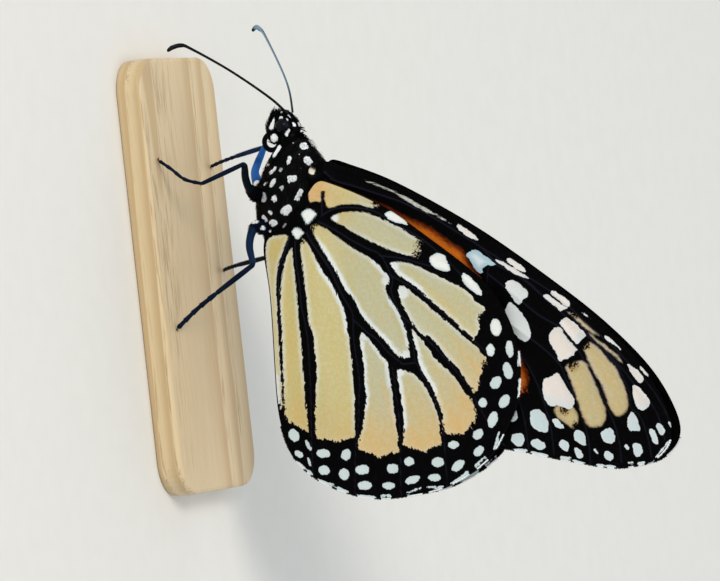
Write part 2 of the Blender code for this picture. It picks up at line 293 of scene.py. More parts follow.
fore = {
    # Half the gap between the forewings: its middle value, and what is added at the hinge and the tip
    "hinge": (-9.9, 20.4), "span": 51.0, "middle": 0.38, "rootSpread": 2.0, "rootReach": 5.0,
    "tipSpread": 1.2,
    # Where the veins start, the long axis's lean in degrees, the key points of the outline, and the
    # numbers of the four of them that are its corners
    "root": (-10.0, 20.5), "corners": (0, 9, 14, 17), "lean": 45.0,
    "outline": [(-11.15, 19.95), (-10.5, 22.5), (-7.6, 28.7), (-1.5, 37.9), (6.0, 46.9), (11.3, 52.4),
        (16.5, 56.5), (21.3, 58.6), (24.3, 58.6), (26.4, 56.3), (26.9, 52.2), (25.9, 47.3), (24.2, 41.3),
        (22.6, 36.2), (19.0, 33.2), (8.0, 28.6), (-4.0, 22.8), (-8.6, 19.6)],
    "spots": {
        "costalOne": [(-2.21, 35.63), (-2.13, 36.01), (-1.59, 36.73), (-0.93, 37.53), (-0.26, 37.89),
            (-0.32, 37.46), (-0.78, 36.73), (-1.35, 36.08), (-1.78, 35.68)],
        "costalTwo": [(2.22, 41.22), (2.27, 41.62), (2.76, 42.29), (3.37, 43.02), (3.91, 43.22),
            (3.93, 42.83), (3.53, 42.3), (2.98, 41.64), (2.53, 41.24)],
        "costalTwoSliver": [(2.15, 39.74), (2.51, 40.67), (3.23, 41.72), (3.91, 42.67), (4.67, 43.55),
            (4.56, 43), (4.04, 42.04), (3.36, 41.08), (2.67, 40.3)],
        "bandOne": [(4.9, 40.7), (4.7, 41.1), (4.7, 41.6), (5, 42.1), (5.6, 42.7), (6.2, 43.2), (6.5, 43.2),
            (6.8, 43), (7, 42.6), (7.4, 42.3), (7.5, 42), (7.2, 41.6), (6.3, 41.1), (5.5, 40.7),
            (5.2, 40.7)],
        "bandTwo": [(8.21, 40.19), (7.39, 40.62), (7.12, 40.98), (7.77, 41.6), (8.71, 42.32), (9.72, 42.82),
            (10.89, 43.06), (11.54, 42.82), (11.74, 42.34), (11.54, 41.79), (10.91, 41.24), (10.08, 40.72),
            (9.18, 40.31)],
        "costalThree": [(6.41, 46.08), (6.4, 46.39), (6.97, 47.15), (7.5, 47.85), (8.05, 48.18),
            (8.42, 47.97), (8.12, 47.49), (7.43, 46.79), (6.91, 46.19)],
        "costalThreeLower": [(6.69, 45.12), (6.74, 45.59), (7.39, 46.38), (8, 47.09), (8.45, 47.74),
            (8.58, 47.56), (8.73, 46.95), (8.27, 46.49), (7.63, 45.84), (7.08, 45.22)],
        "bandThree": [(10, 46.7), (9.5, 47.4), (9.6, 47.7), (10.1, 48.3), (10.9, 49.1), (11.7, 49.7),
            (12, 49.4), (12.3, 49), (12.7, 48.5), (12.3, 48.2), (11.4, 47.5), (10.7, 47.1), (10.3, 46.8)],
        "bandFour": [(11.4, 45.2), (10.9, 45.5), (10.5, 46.2), (10.6, 46.8), (11.2, 47), (12, 47.5),
            (12.7, 48.1), (13.3, 48.5), (13.5, 48.1), (13.9, 47.9), (13.9, 47.6), (14.2, 47.2),
            (14.2, 46.7), (14.4, 46.3), (13.8, 46), (12.9, 45.6), (12.1, 45.2)],
        "bandFive": [(16.5, 43.9), (16.1, 44.2), (16, 44.9), (15.6, 45.8), (16.2, 46.2), (17.1, 46.6),
            (18.2, 47.2), (18.8, 47.5), (19.5, 47.3), (19.9, 46.8), (19.6, 46.1), (19.3, 45.4),
            (19.3, 44.9), (19.2, 44.4), (18.2, 43.9), (17.2, 43.8)],
        "streakOne": [(11.95, 51.83), (12.12, 52.22), (12.79, 52.97), (13.77, 53.69), (13.53, 53.36),
            (12.99, 52.7), (12.45, 52.08)],
        "streakZero": [(9.12, 49.52), (9.33, 49.86), (10.01, 50.51), (9.88, 50.17), (9.49, 49.74)],
        "streakTwo": [(15.52, 54.36), (15.63, 54.72), (16.31, 55.47), (17.13, 56.11), (17.68, 55.95),
            (17.65, 55.54), (17.02, 54.99), (16.22, 54.56)],
        "streakThree": [(15.71, 55.62), (15.94, 56.03), (17.04, 56.74), (16.97, 56.47), (16.46, 56.03)],
        "rowA": [(18, 54.7), (17.9, 55.1), (18.5, 55.7), (19.8, 56.6), (20.5, 56.3), (20.8, 55.7),
            (20.5, 55), (19.4, 54.7)],
        "rowB": [(21.9, 53.6), (21.3, 53.8), (20.9, 54.3), (21.3, 54.7), (22.2, 55), (23, 55.1), (23, 54.2),
            (22.8, 53.7)],
        "rowC": [(22.9, 50.3), (22.5, 50.8), (22.4, 51.5), (23, 51.9), (23.7, 52), (24.2, 51.4),
            (23.9, 50.7), (23.5, 50.4)],
        "rowD": [(22.6, 47), (22.3, 47.4), (22.5, 48.1), (23.2, 48.4), (24, 48.4), (24.1, 48), (23.6, 47.4),
            (23.3, 47)],
        "rowE": [(20.8, 44.6), (20.8, 45.1), (21.3, 45.6), (21.9, 45.9), (21.8, 45.2), (21.3, 44.7)],
        "rowF": [(19.8, 42), (19.5, 42.5), (19.6, 43.2), (20.5, 43.9), (21.4, 44.1), (22.2, 43.7),
            (21.9, 42.8), (21.3, 42)],
        "rowG": [(20.2, 39.1), (19.4, 39.2), (19, 39.7), (19.2, 40.1), (19.6, 40.4), (20.2, 40.4),
            (20.6, 39.8)],
        "rowA2": [(23.1, 56.2), (22.9, 56.4), (23.2, 56.8), (24, 57.1), (24.7, 57.1), (24.7, 56.8),
            (24.1, 56.4)],
        "rowB2": [(22.5, 57.1), (22.4, 57.4), (22.6, 57.8), (23.3, 58.1), (23.7, 57.9), (23.7, 57.5),
            (23.1, 57.2)],
        "rowC2": [(22.4, 58.6), (22.4, 58.8), (22.9, 59.1), (23.1, 59), (23, 58.8)],
        "edgeA": [(24.6, 54), (24.4, 54.5), (24.8, 55.1), (25.7, 55), (25.9, 54.4), (25.6, 54.1)],
        "edgeB": [(24.5, 53), (24.4, 53.3), (24.9, 53.5), (25, 53.2)],
        "edgeC": [(25.1, 50.5), (24.9, 50.9), (25.6, 51.6), (26, 51.3), (26, 50.8), (25.6, 50.5)],
        "edgeD": [(24.6, 49.4), (24.9, 49.7), (25.2, 49.8), (25.1, 49.5), (24.7, 49.3)],
        "edgeE": [(24.3, 46.9), (24.3, 47.3), (24.8, 47.8), (25.3, 47.9), (25.5, 47.4), (25, 47)],
        "edgeF": [(23.4, 45.2), (23.2, 45.7), (23.5, 46.2), (24, 46.3), (24.5, 46), (24.3, 45.5),
            (23.9, 45.2)],
        "edgeG": [(23, 41.8), (22.8, 42.4), (23.2, 43.1), (23.7, 43.5), (24.1, 43), (23.9, 42.3),
            (23.5, 41.8)],
        "edgeH": [(22.2, 39.5), (22, 39.9), (22, 40.7), (22.7, 41), (23.3, 40.7), (23.4, 40), (22.8, 39.4)],
        "edgeI": [(23.1, 36.9), (22.7, 37.4), (23, 37.9), (23.4, 37.6), (23.5, 37.2)],
    },
    "blueSpots": {
        "cellEnd": [(1.2, 36.3), (0.9, 36.9), (0.8, 37.4), (1.1, 37.9), (1.9, 38.9), (2.7, 39.8),
            (2.8, 39.3), (2.7, 38.7), (2.9, 38.3), (3.1, 38.1), (3.5, 38), (3.6, 37.8), (3.2, 37.3),
            (2.2, 36.8), (1.6, 36.4)],
    },
    "cells": {
        "apicalOne": [(13.7, 49.3), (14.9, 49.7), (16.1, 50.2), (17.5, 50.9), (18.5, 51.2), (19.9, 51.6),
            (20.9, 52), (21.2, 52.5), (21.2, 53), (20.7, 53.7), (20.2, 54), (19.3, 54), (18.1, 53.8),
            (16.9, 53.4), (15.6, 52.9), (14.7, 52.1), (13.4, 51.2), (12.7, 50.4), (12.5, 50.1),
            (12.7, 49.7), (13, 49.2)],
        "apicalTwo": [(15.3, 46.8), (16.8, 47.3), (18.9, 47.8), (20.9, 48.3), (22, 48.9), (22.2, 49.6),
            (22.1, 50.5), (21, 51.2), (19.8, 51.1), (18.2, 50.6), (16.4, 50), (15.1, 49.5), (14.5, 49),
            (14.5, 48.5), (14.6, 47.6), (14.8, 47)],
        "apicalThree": [(19.6, 44.9), (19.1, 45.8), (19.4, 47), (20.5, 47.8), (21.4, 47.7), (22, 47.1),
            (21.9, 46.6), (21.2, 45.8), (20.5, 45.1)],
        "sliverOne": [(8.9, 47.8), (9, 48.1), (9.2, 48.6), (9.7, 49.1), (10.3, 49.7), (11.1, 50.5),
            (11.6, 51), (12, 51.4), (12, 51.1), (11.6, 50.4), (10.9, 49.6), (10.2, 48.9), (9.5, 48.3),
            (9.1, 47.9)],
        "sliverTwo": [(11.5, 50), (11.7, 50.4), (12.4, 51.1), (13, 51.9), (13.7, 52.6), (14.3, 53.3),
            (14.8, 53.6), (15.4, 53.8), (15.2, 53.5), (14.4, 52.8), (13.7, 52), (13, 51.3), (12.2, 50.5)],
    },
    "orangeCells": {
        "discalCell": [(-7.2, 22.8), (-5.7, 26.7), (-4.4, 28.8), (-3.5, 30.3), (-2.3, 32.4), (-0.5, 34.5),
            (0.2, 35.5), (1, 36.2), (2.4, 36.7), (3.5, 37.5), (5.2, 38), (6.5, 37), (5.4, 35.3),
            (3.3, 32.8), (0.7, 29.5), (-1.7, 25.9), (-3.9, 22.8), (-5.7, 20.7)],
        "cuCellOne": [(12.7, 41.5), (13.8, 41.8), (14.7, 42.1), (15.9, 42.3), (16.7, 42.1), (17.4, 41.7),
            (17.8, 40.8), (16.3, 39.6), (13.4, 38.3), (10.6, 36.9), (8.2, 35.7), (7.6, 37), (9.2, 39.2),
            (11.2, 40.7)],
        "cuCellTwo": [(8.3, 34.9), (11.2, 36.6), (14.1, 37.9), (16.9, 39.1), (18.4, 38.2), (18.2, 36),
            (16.2, 34), (13, 31.7), (9.1, 29), (5.4, 26.5), (2.5, 24.6), (1, 25.8), (3.4, 29.2), (6, 32.5)],
        "analCell": [(3.6, 24.5), (8, 27.4), (12, 30.1), (15.6, 32.6), (18.6, 34.7), (19, 32.5),
            (16.7, 29.3), (12.5, 26.3), (7.2, 23.3), (2.1, 20.7), (-2.2, 19.1), (-3.5, 20.3), (-0, 22.5)],
    },
    "veins": {
        "costalRidge": [(-9.0, 21.4), (-8.7, 22.0), (-8.1, 23.5), (-7.5, 24.9), (-6.8, 26.4), (-6.2, 27.7),
            (-5.6, 29.1), (-4.6, 30.8)],
        "radius": [(-9.9, 20.9), (-8.7, 22), (-7.8, 24.1), (-6.8, 26.4), (-5.6, 29.1), (-3.8, 32.2),
            (-1.5, 35.4), (0.5, 38.1), (2.6, 40.9), (4.4, 43.3), (6.2, 45.7), (8, 47.7), (10.8, 50.3),
            (13.2, 52.7), (15.7, 54.8), (18.2, 56.8), (20.8, 58.2), (23.1, 59)],
        "radiusTwo": [(0.5, 38.1), (2.5, 39.9), (4.4, 42.5), (7, 45.2), (8.8, 47.6), (11.3, 49.7),
            (13.6, 51.9), (16.1, 53.8), (18.3, 55.3), (20.2, 56.8), (22.1, 57.6), (24.3, 58)],
        "cubitus": [(-9, 20.8), (-6.5, 22.6), (-1.5, 25.9), (1.2, 29.4), (3.8, 32.8), (6.3, 35.5),
            (7.5, 36.9), (10.1, 39.4), (12.9, 41.5), (16, 43), (19.1, 43.9), (22, 44.4), (24.8, 44.4)],
        "cellEnd": [(7.5, 36.9), (6.2, 38.1), (4.4, 38.5), (3, 38.9), (2.5, 39.9)],
        "medianOne": [(2.7, 39.7), (5.1, 43.4), (7.1, 45.2), (9.1, 47.2), (12, 50), (13.1, 51.2),
            (14.5, 52.3), (15.8, 53.2), (17.2, 53.8), (18.8, 54.3), (20.4, 54.3), (21.3, 55.2), (23, 55.8),
            (24.7, 56.1), (26.2, 56.2)],
        "medianTwo": [(3.8, 38.8), (6.1, 41.3), (8.6, 43.9), (9.9, 45.7), (10.7, 47), (11.7, 47.5),
            (12.8, 48.3), (13.5, 48.7), (14.8, 49.3), (16.3, 49.9), (18.5, 50.9), (20.1, 51.4),
            (22.1, 52.1), (24.4, 52.5), (26.4, 52.5)],
        "medianThree": [(7.5, 36.9), (9.1, 40.1), (11.4, 42.9), (13.2, 44.9), (14.9, 46.3), (16.3, 46.7),
            (17.7, 47.3), (19.2, 47.8), (20.8, 48.2), (22.4, 48.6), (24.1, 48.8), (26.2, 48.7)],
        "cubitusTwo": [(3.8, 32.8), (8.4, 35.9), (12.6, 38.5), (16.8, 40.3), (20.1, 41.2), (24, 41.4)],
        "anal": [(-7.9, 20.1), (-3.1, 21.5), (3.2, 24.5), (9.1, 28.5), (14.7, 32.1), (19.1, 35.4),
            (23.2, 38.5)],
    },
    "fringe": [((23.9, 39.6), (23.9, 41)), ((24.3, 41.8), (24.8, 43.5)), ((25.1, 45.2), (25.3, 46.4)),
        ((25.7, 46.8), (26.2, 47.8)), ((26.4, 49.6), (26.5, 50.2)), ((26.6, 50.7), (26.8, 51.5)),
        ((26.5, 53.3), (26.5, 53.8)), ((26.6, 54.5), (26.6, 55.1)), ((26.1, 56.8), (24.4, 58.6))],
    # A pale streak near the costa, in part pale scales and in part a painted highlight along the costal
    # edge, and the part of it that is broad
    "dust": [(-8.88, 24.31), (-8.55, 24.98), (-8.09, 25.88), (-7.6, 26.9), (-7.07, 27.92), (-6.46, 28.95),
        (-5.8, 29.97), (-5.11, 31), (-4.44, 32.03), (-3.7, 33.05), (-3.15, 33.86), (-2.51, 34.77),
        (-1.88, 35.69)],
    "dustAndHighlightBroad": [(-6.95, 28.03), (-6.34, 29.06), (-5.65, 30.08), (-4.95, 31.1), (-4.26, 32.13),
        (-3.55, 33.16), (-3.02, 33.96)],
    # Where white spots turn bluish: middle and reach
    "cool": [(8.6, 41.9, 5.2), (12.16, 49.09, 1.03), (18.66, 44.05, 0.91)],
    # Where scales of both colours mix: middle and reach
    "ragged": [(12.83, 49.51, 0.91), (14.79, 47.61, 1.25), (19.77, 46.14, 1.03), (21.73, 47.27, 0.68),
        (9.37, 48.52, 0.8), (17.95, 41.69, 1.48)],
}

hind = {
    # How far it stands outside the forewing, and how much more beside the body
    "outsideFore": 0.8, "outsideBody": 1.15,
    "root": (-8.0, 19.5), "corners": (1, 8, 15, 20), "lean": 30.0,
    "outline": [(-7.2, 18.4), (-8.9, 20.2), (-8.4, 22.0), (-5.5, 27.0), (-1.4, 32.0), (4.3, 38.2),
        (8.3, 40.6), (12.7, 41.6), (17.9, 41.0), (21.6, 38.9), (24.6, 36.4), (26.9, 31.8), (27.7, 26.9),
        (27.5, 21.6), (25.4, 16.4), (22.3, 13.1), (18.1, 11.9), (11.7, 12.2), (3.6, 12.6), (-1.8, 12.5),
        (-3.6, 13.4), (-4.1, 15.4)],
    "spots": {
        "baseStar": [(-5.4, 17.8), (-5.8, 18.25), (-5.9, 18.8), (-5.65, 19.1), (-5.3, 19.5), (-4.9, 19.2),
            (-4.5, 18.75), (-4.2, 18.2), (-4.8, 18.0)],
        "baseDot": [(-3.6, 16.35), (-3.95, 16.9), (-3.65, 17.5), (-3.2, 17.75), (-2.85, 17.3), (-2.6, 16.8),
            (-3.1, 16.5)],
        "costalSpot": [(-4.3, 27.4), (-4.6, 28), (-4.4, 28.8), (-3.8, 29.5), (-2.8, 30), (-3.1, 29.2),
            (-3.3, 28.5), (-3.7, 27.9)],
        "bigSpot": [(1.3, 32.1), (0.9, 32.5), (0.7, 33.2), (1, 33.9), (1.6, 34.2), (2.7, 34.5), (2.9, 34),
            (2.7, 33.3), (2.2, 32.5)],
        "edgeSpot": [(3.4, 35.9), (3.4, 36.2), (3.9, 36.9), (4.8, 37.6), (5.6, 38), (6, 37.9), (6, 37.5),
            (5.5, 36.9), (4.8, 36.2), (4, 35.8)],
    },
    # Middle, half length, half width and lean in degrees
    "ovalSpots": [(19.6, 13.3, 0.77, 0.62, 29), (20.9, 14.9, 0.66, 0.26, 20), (22.0, 16.6, 0.83, 0.51, 82),
        (22.4, 19.4, 0.68, 0.57, 137), (24.3, 21.2, 0.84, 0.56, 92), (24.5, 24.9, 0.75, 0.56, 80),
        (23.9, 27.0, 0.6, 0.5, 75), (24.3, 30.5, 0.81, 0.56, 85), (22.5, 32.6, 0.65, 0.44, 85),
        (24.9, 32.9, 0.87, 0.52, 120), (21.6, 35.7, 0.74, 0.53, 127), (18.1, 36.7, 0.54, 0.46, 4),
        (16.0, 38.5, 0.79, 0.59, 132), (12.3, 38.3, 0.71, 0.49, 4), (9.8, 39.2, 0.99, 0.67, 2),
        (20.1, 37.7, 0.97, 0.53, 158), (23.5, 35.6, 0.74, 0.47, 124), (21.8, 13.6, 0.59, 0.36, 58),
        (22.8, 14.8, 0.54, 0.17, 13), (23.9, 16.5, 0.71, 0.53, 85), (24.6, 18.9, 0.68, 0.61, 15),
        (26.1, 21.3, 0.89, 0.5, 85), (26.4, 24.2, 0.8, 0.41, 85), (26.0, 27.2, 0.9, 0.44, 103),
        (26.0, 29.9, 0.83, 0.41, 82), (18.2, 39.3, 0.85, 0.59, 137), (14.8, 40.1, 0.96, 0.58, 10),
        (12.4, 40.6, 0.96, 0.46, 1)],
    "cells": {
        "anal": [(-2.8, 13.1), (-3.2, 13.7), (-3.3, 14.7), (-3.2, 15.7), (-2.5, 15.5), (-1.4, 14.9),
            (-0.3, 14.3), (1.1, 13.8), (2.8, 13.5), (4.6, 13.4), (6.6, 13.2), (7.4, 13.2), (9.9, 13),
            (12.3, 12.9), (14.5, 12.7), (16.5, 12.3), (15.7, 12.1), (13.9, 12.1), (11.7, 12.2), (8.9, 12.2),
            (6.6, 12.3), (5.2, 12.5), (2.2, 12.6), (-0.5, 12.7), (-1.8, 12.8)],
        "analTwo": [(-1.7, 16), (-0.6, 15.2), (0.9, 14.6), (2.4, 14.2), (4, 13.9), (6.2, 13.7), (6.9, 13.7),
            (9.1, 13.5), (11.8, 13.3), (14.5, 13), (16.5, 12.8), (17.7, 12.8), (18.5, 13.8), (19, 14.5),
            (19.4, 15.1), (19.2, 15.2), (17.9, 15.3), (16, 15.4), (13.5, 15.6), (11.1, 15.7), (8.4, 15.8),
            (8.4, 15.8), (6.9, 15.8), (4.7, 15.9), (2.5, 16), (0.5, 16), (-1.2, 16.1)],
        "analThree": [(-2, 17.2), (-0.7, 17.1), (1.5, 17.1), (3.7, 17.1), (5.7, 17.1), (7.4, 17.1),
            (8.2, 17.4), (10.4, 17.4), (12.7, 17.3), (15.3, 16.8), (17.6, 16.3), (19.4, 16.1), (20.2, 16.2),
            (20.5, 17.6), (20.8, 18.3), (20.7, 19.3), (20.5, 20.3), (20.2, 20.7), (17.4, 21), (15.7, 21.2),
            (14.1, 21.2), (11.7, 21.3), (9.5, 21.3), (8.1, 21.2), (8.5, 21.2), (7.3, 21.2), (6, 21.1),
            (4.4, 20.6), (2.8, 20), (1.2, 19.2), (-0.5, 18.6), (-1.9, 18.1), (-2.4, 17.7)],
        "cubitusOne": [(8.8, 22.9), (9.3, 22.6), (10.6, 22.6), (12.4, 22.7), (14.6, 22.6), (16.1, 22.6),
            (17.7, 22.2), (19.1, 21.9), (20.7, 21.3), (21.7, 21), (22.1, 21.3), (22.4, 22.3), (23, 23.2),
            (23.2, 23.5), (22.8, 24.2), (22.7, 25.2), (22.7, 25.8), (21.5, 25.9), (19.5, 25.9),
            (17.8, 25.8), (15.5, 25.8), (13.6, 25.7), (12.5, 25.6), (11.5, 24.9), (10.2, 24.1),
            (9.2, 23.4)],
        "cubitusTwo": [(13.5, 26.7), (15.4, 26.8), (17.2, 26.9), (19, 26.9), (20.5, 26.8), (21.5, 26.6),
            (22.1, 26.7), (22.6, 28.2), (23, 29), (22.6, 29.9), (22.5, 30.9), (22.1, 31.1), (21.2, 31.2),
            (20, 31.2), (18.5, 31), (17, 30.5), (15.7, 29.9), (14.5, 29.1), (13.8, 28.2), (13.5, 27.4)],
        "medianThree": [(8.9, 29), (10.3, 29.2), (11.6, 29.4), (13.1, 29.5), (14.2, 30), (15.6, 30.7),
            (17.1, 31.2), (18.4, 31.6), (19.8, 31.7), (20.9, 31.8), (21.2, 32.2), (21.4, 33.6),
            (21.2, 34.2), (20.2, 35.3), (19.4, 35.8), (18.8, 35.6), (18, 35.5), (16.5, 34.5), (15.1, 33.7),
            (14, 32.8), (13.3, 32.1), (12.5, 31.4), (11.4, 30.8), (10.2, 30), (9.3, 29.3)],
        "medianTwo": [(4.1, 28), (5.2, 28), (6.5, 28.4), (7.4, 28.8), (8.5, 29.4), (9.8, 30.3), (9.9, 31),
            (11.1, 32), (12.3, 32.8), (13.7, 33.9), (14.9, 34.7), (16.2, 35.5), (16.8, 35.8), (16.3, 36.3),
            (14.9, 36.8), (13.4, 37.6), (12.4, 37.1), (11.4, 36.3), (10.4, 35.2), (9.4, 34.3), (8.3, 33.1),
            (7.9, 32.7), (7, 31.7), (6, 30.8), (5.1, 29.8), (4.4, 29.1), (4, 28.5)],
        "medianOne": [(1.2, 27.4), (1.7, 27.5), (2.5, 28), (3.2, 28.8), (4, 29.9), (4.8, 30.7), (5.9, 31.7),
            (6.8, 32.6), (8.1, 33.9), (9, 34.7), (9.5, 35.1), (10.6, 36.3), (10.9, 36.4), (10.5, 36.7),
            (9.7, 37.2), (8.6, 37.2), (8, 37.7), (7.5, 38.1), (6.7, 37.2), (5.9, 36.6), (5.1, 35.9),
            (4.5, 34.9), (3.9, 33.9), (3.3, 32.9), (2.5, 31.5), (1.8, 30.2), (1.4, 29.2), (1.2, 28.1)],
        "costalCell": [(-4.5, 21), (-4.9, 21.5), (-5.1, 22.6), (-5, 24), (-4.7, 25.3), (-4, 26.7),
            (-3.2, 28), (-2.4, 29.3), (-1.6, 30.3), (-0.9, 31.2), (-0.2, 31.2), (0.8, 30.8), (0.7, 30),
            (0.4, 28.9), (-0.2, 27.6), (-0.9, 26.2), (-1.7, 24.9), (-2.5, 23.6), (-3.5, 22.3),
            (-4.1, 21.4)],
        "discalCell": [(-3.9, 18.9), (-3.9, 19.5), (-3.4, 20.3), (-2.6, 21.1), (-1.6, 22.2), (-0.7, 23.3),
            (0.1, 24.5), (0.9, 25.5), (1.8, 26.2), (2.7, 26.9), (3.4, 26.9), (4, 26.4), (5.2, 26.7),
            (6.5, 27.5), (7.9, 28), (8.9, 28.2), (8.6, 28.2), (9.7, 28.4), (11, 28.4), (12.1, 28.4),
            (12.1, 27.6), (11.6, 26.8), (10.5, 26), (9.4, 25.2), (8.3, 24.2), (6.7, 23.1), (4.7, 22.3),
            (3.7, 21.5), (1.9, 20.9), (0.1, 20.1), (-1.5, 19.4), (-2.9, 18.9)],
        "humeralCell": [(-8.4, 19.2), (-8.9, 19.8), (-9, 20.6), (-8.8, 21.9), (-8.1, 23.1), (-7.5, 24.4),
            (-6.8, 25.5), (-6, 26.6), (-5.5, 26.9), (-5.2, 26.1), (-5.4, 25.4), (-5.8, 24.4), (-5.9, 23.4),
            (-6, 22.4), (-5.8, 21.3), (-5.9, 20.8), (-6.9, 20.7), (-7.7, 20.9), (-7.7, 20.5), (-7.1, 20.3),
            (-6.6, 20.2), (-6.7, 19.5), (-6.7, 19), (-7.6, 19)],
    },
    # Pale strokes along the edges of cells
    "paleEdges": {
        "discalLower": [(-3.3, 18.85), (-1.9, 19.35), (-0.5, 19.95), (1.7, 20.85), (3.4, 21.6), (5.6, 22.6),
            (7.1, 23.5), (8.6, 24.6), (9.7, 25.6), (11, 26.6), (11.8, 27.5), (11.7, 28.2)],
        "discalUpper": [(0.4, 24.9), (0.9, 25.4), (1.8, 26.1), (2.7, 26.8), (3.4, 26.8), (4.0, 26.4)],
        "discalBelow": [(4.6, 26.5), (5.6, 26.9), (7, 27.6), (8.4, 28.1), (9.8, 28.4), (11.4, 28.4)],
        "threeRight": [(-0.2, 18.6), (1.1, 19.1), (2.9, 20), (4.7, 20.7), (6.3, 21.1), (7.8, 21.15),
            (9.4, 21.3)],
        "oneLeft": [(8.9, 22.9), (10.8, 22.7), (12.6, 22.75), (14.6, 22.6), (16.1, 22.6), (18.0, 22.2)],
        "oneRight": [(9.3, 23.5), (10.3, 24.2), (11.6, 25.0), (12.6, 25.5), (14.1, 25.6), (16, 25.75)],
        "twoLeft": [(13.6, 27.2), (13.8, 26.8), (15.6, 26.85), (17.6, 26.9), (19.4, 26.9), (20.6, 26.8)],
        "medianThreeLeft": [(9.0, 29.1), (11.1, 29.4), (12.7, 29.6), (14.1, 30.1), (15.6, 30.8),
            (17.1, 31.3)],
        "medianOneLeft": [(1.4, 27.5), (2.2, 28.0), (3.2, 29.0), (4.1, 30.1), (5.1, 31.1)],
        "analTip": [(12.2, 12.35), (13.4, 12.25), (14.6, 12.2), (15.6, 12.2), (16.4, 12.2)],
    },
    # Round pale patches: place and radius
    "paleTips": [(1.6, 27.6, 0.4), (4.7, 28.4, 0.45), (-4.6, 21.3, 0.25), (3.2, 26.6, 0.25),
        (13.7, 27.1, 0.15), (9.2, 23.1, 0.2), (11.9, 28.0, 0.3)],
    "veins": {
        "anal": [(-3, 16), (-1.5, 15.3), (0.2, 14.3), (2, 13.9), (5.3, 13.6), (8.5, 13.2), (11.8, 13),
            (14.5, 12.8), (16.7, 12.6), (17.8, 12.6)],
        "analTwo": [(-2.4, 16.6), (-0.1, 16.4), (2.3, 16.5), (4.8, 16.4), (6.9, 16.6), (8.8, 16.7),
            (11.4, 16.6), (14, 16.4), (16.7, 16), (19, 15.6), (21.5, 15.3), (24.4, 15.1)],
        "cubitus": [(-3.3, 18.1), (-1.9, 18.6), (0.9, 20), (2.7, 20.6), (4.5, 21.2), (6.2, 22),
            (7.2, 22.1)],
        "cubitusDown": [(7.2, 22.1), (8.7, 21.9), (10.9, 21.9), (12.7, 22), (14.6, 22), (16.4, 21.7),
            (18.2, 21.5), (20, 21.1), (20.6, 20.9), (23.1, 20.5), (27.1, 20)],
        "cubitusAcross": [(7.2, 22.1), (8.8, 23.6), (9.7, 24.7), (11.3, 25.9), (12.5, 27.2), (12.8, 27.5),
            (12.8, 29)],
        "cubitusOne": [(13.1, 26.2), (15, 26.3), (16.8, 26.3), (18.6, 26.4), (20.5, 26.3), (22, 26.2),
            (24.8, 25.9), (27.8, 25.6)],
        "median": [(-4.3, 19.6), (-3, 21.5), (-1.8, 23.1), (-0.7, 24.8), (0.2, 26.3), (2.3, 27.2),
            (3.3, 27.4), (4.4, 27.1), (6.1, 27.5), (8, 28.3), (9.2, 28.4), (10.7, 29), (12.8, 29)],
        "medianUpper": [(0.3, 26.2), (0.9, 29), (1.9, 31.6), (2.5, 33.9)],
        "medianOne": [(2.5, 27.1), (2.9, 27.6), (4.2, 29.6), (5.6, 31.2), (7.2, 32.8), (8.8, 34.4),
            (10.5, 36), (12.9, 38.1)],
        "medianTwo": [(7.5, 28.2), (10.1, 30.6), (12.1, 32.3), (14.4, 34), (16.5, 35.5), (17.8, 35.9),
            (20.7, 37.3)],
        "medianThree": [(12.8, 29), (13, 29.2), (14.8, 30), (16.7, 30.8), (18.5, 31.2), (20.2, 31.6),
            (21.3, 31.6), (24.1, 31.5), (27.1, 31.4)],
        "subcosta": [(-4.9, 20), (-5.5, 21.2), (-5.6, 22.8), (-5.3, 24.7), (-4.8, 26.2), (-4, 27.4),
            (-2.8, 29), (-1.2, 31.3), (1.4, 34), (4.6, 36.7)],
        "humeral": [(-7.7, 20.6), (-6.4, 20.3), (-5.1, 20.1)],
    },
    "ragged": [(-0.32, 31.34, 1.25), (0.66, 30.72, 0.91), (-5.62, 26.52, 0.8), (-3.88, 18.98, 0.57),
        (-2.35, 17.49, 0.46), (8.4, 37.71, 0.8), (13.85, 37.4, 0.8), (20.67, 35.39, 0.91)],
    "fringe": [((22.7, 13.1), (23.4, 14.1)), ((23.7, 14.6), (24.1, 14.9)), ((25.1, 15.7), (25.6, 17.4)),
        ((26, 18), (26.6, 19)), ((27.3, 20.3), (27.5, 22.3)), ((27.4, 23.2), (27.5, 24.3)),
        ((27.4, 26.4), (27, 28.1)), ((27, 29), (27.1, 30.6)), ((26.9, 32), (25.7, 34)),
        ((25.1, 35), (24.2, 36.3)), ((23.3, 37.5), (21.6, 38.3)), ((17.8, 41.1), (15.8, 41.4)),
        ((14.4, 41.4), (12.8, 41.7))],
}


def foreOffset(here):
    # Half the gap between the forewings: middle + rootSpread e^(-r/reach) + tipSpread (r/span)^4
    reach = np.hypot(here[:, 0] - fore["hinge"][0], here[:, 1] - fore["hinge"][1])
    return (fore["middle"] + fore["rootSpread"] * np.exp(-reach / fore["rootReach"])
            + fore["tipSpread"] * (reach / fore["span"]) ** 4)


def hindOffset(here):
    # The forewing's offset, a step outwards, and a bulge that grows low down over the body
    overBody = smoothStep((22.0 - here[:, 1]) / 5.0) * smoothStep((22.0 - here[:, 0]) / 10.0)
    return foreOffset(here) + hind["outsideFore"] + hind["outsideBody"] * overBody


def segmentDistance(here, path, closed=False):
    # Distance to the nearest straight piece of a path: project on each piece, clamp, take the least
    start = np.asarray(path, float)
    end = np.roll(start, -1, 0)
    if not closed:
        start, end = start[:-1], end[:-1]
    way = end - start
    share = np.einsum("psk,sk->ps", here[:, None] - start[None], way) / (way ** 2).sum(1)
    near = start + np.clip(share, 0.0, 1.0)[..., None] * way
    return np.linalg.norm(here[:, None] - near, axis=2).min(1)


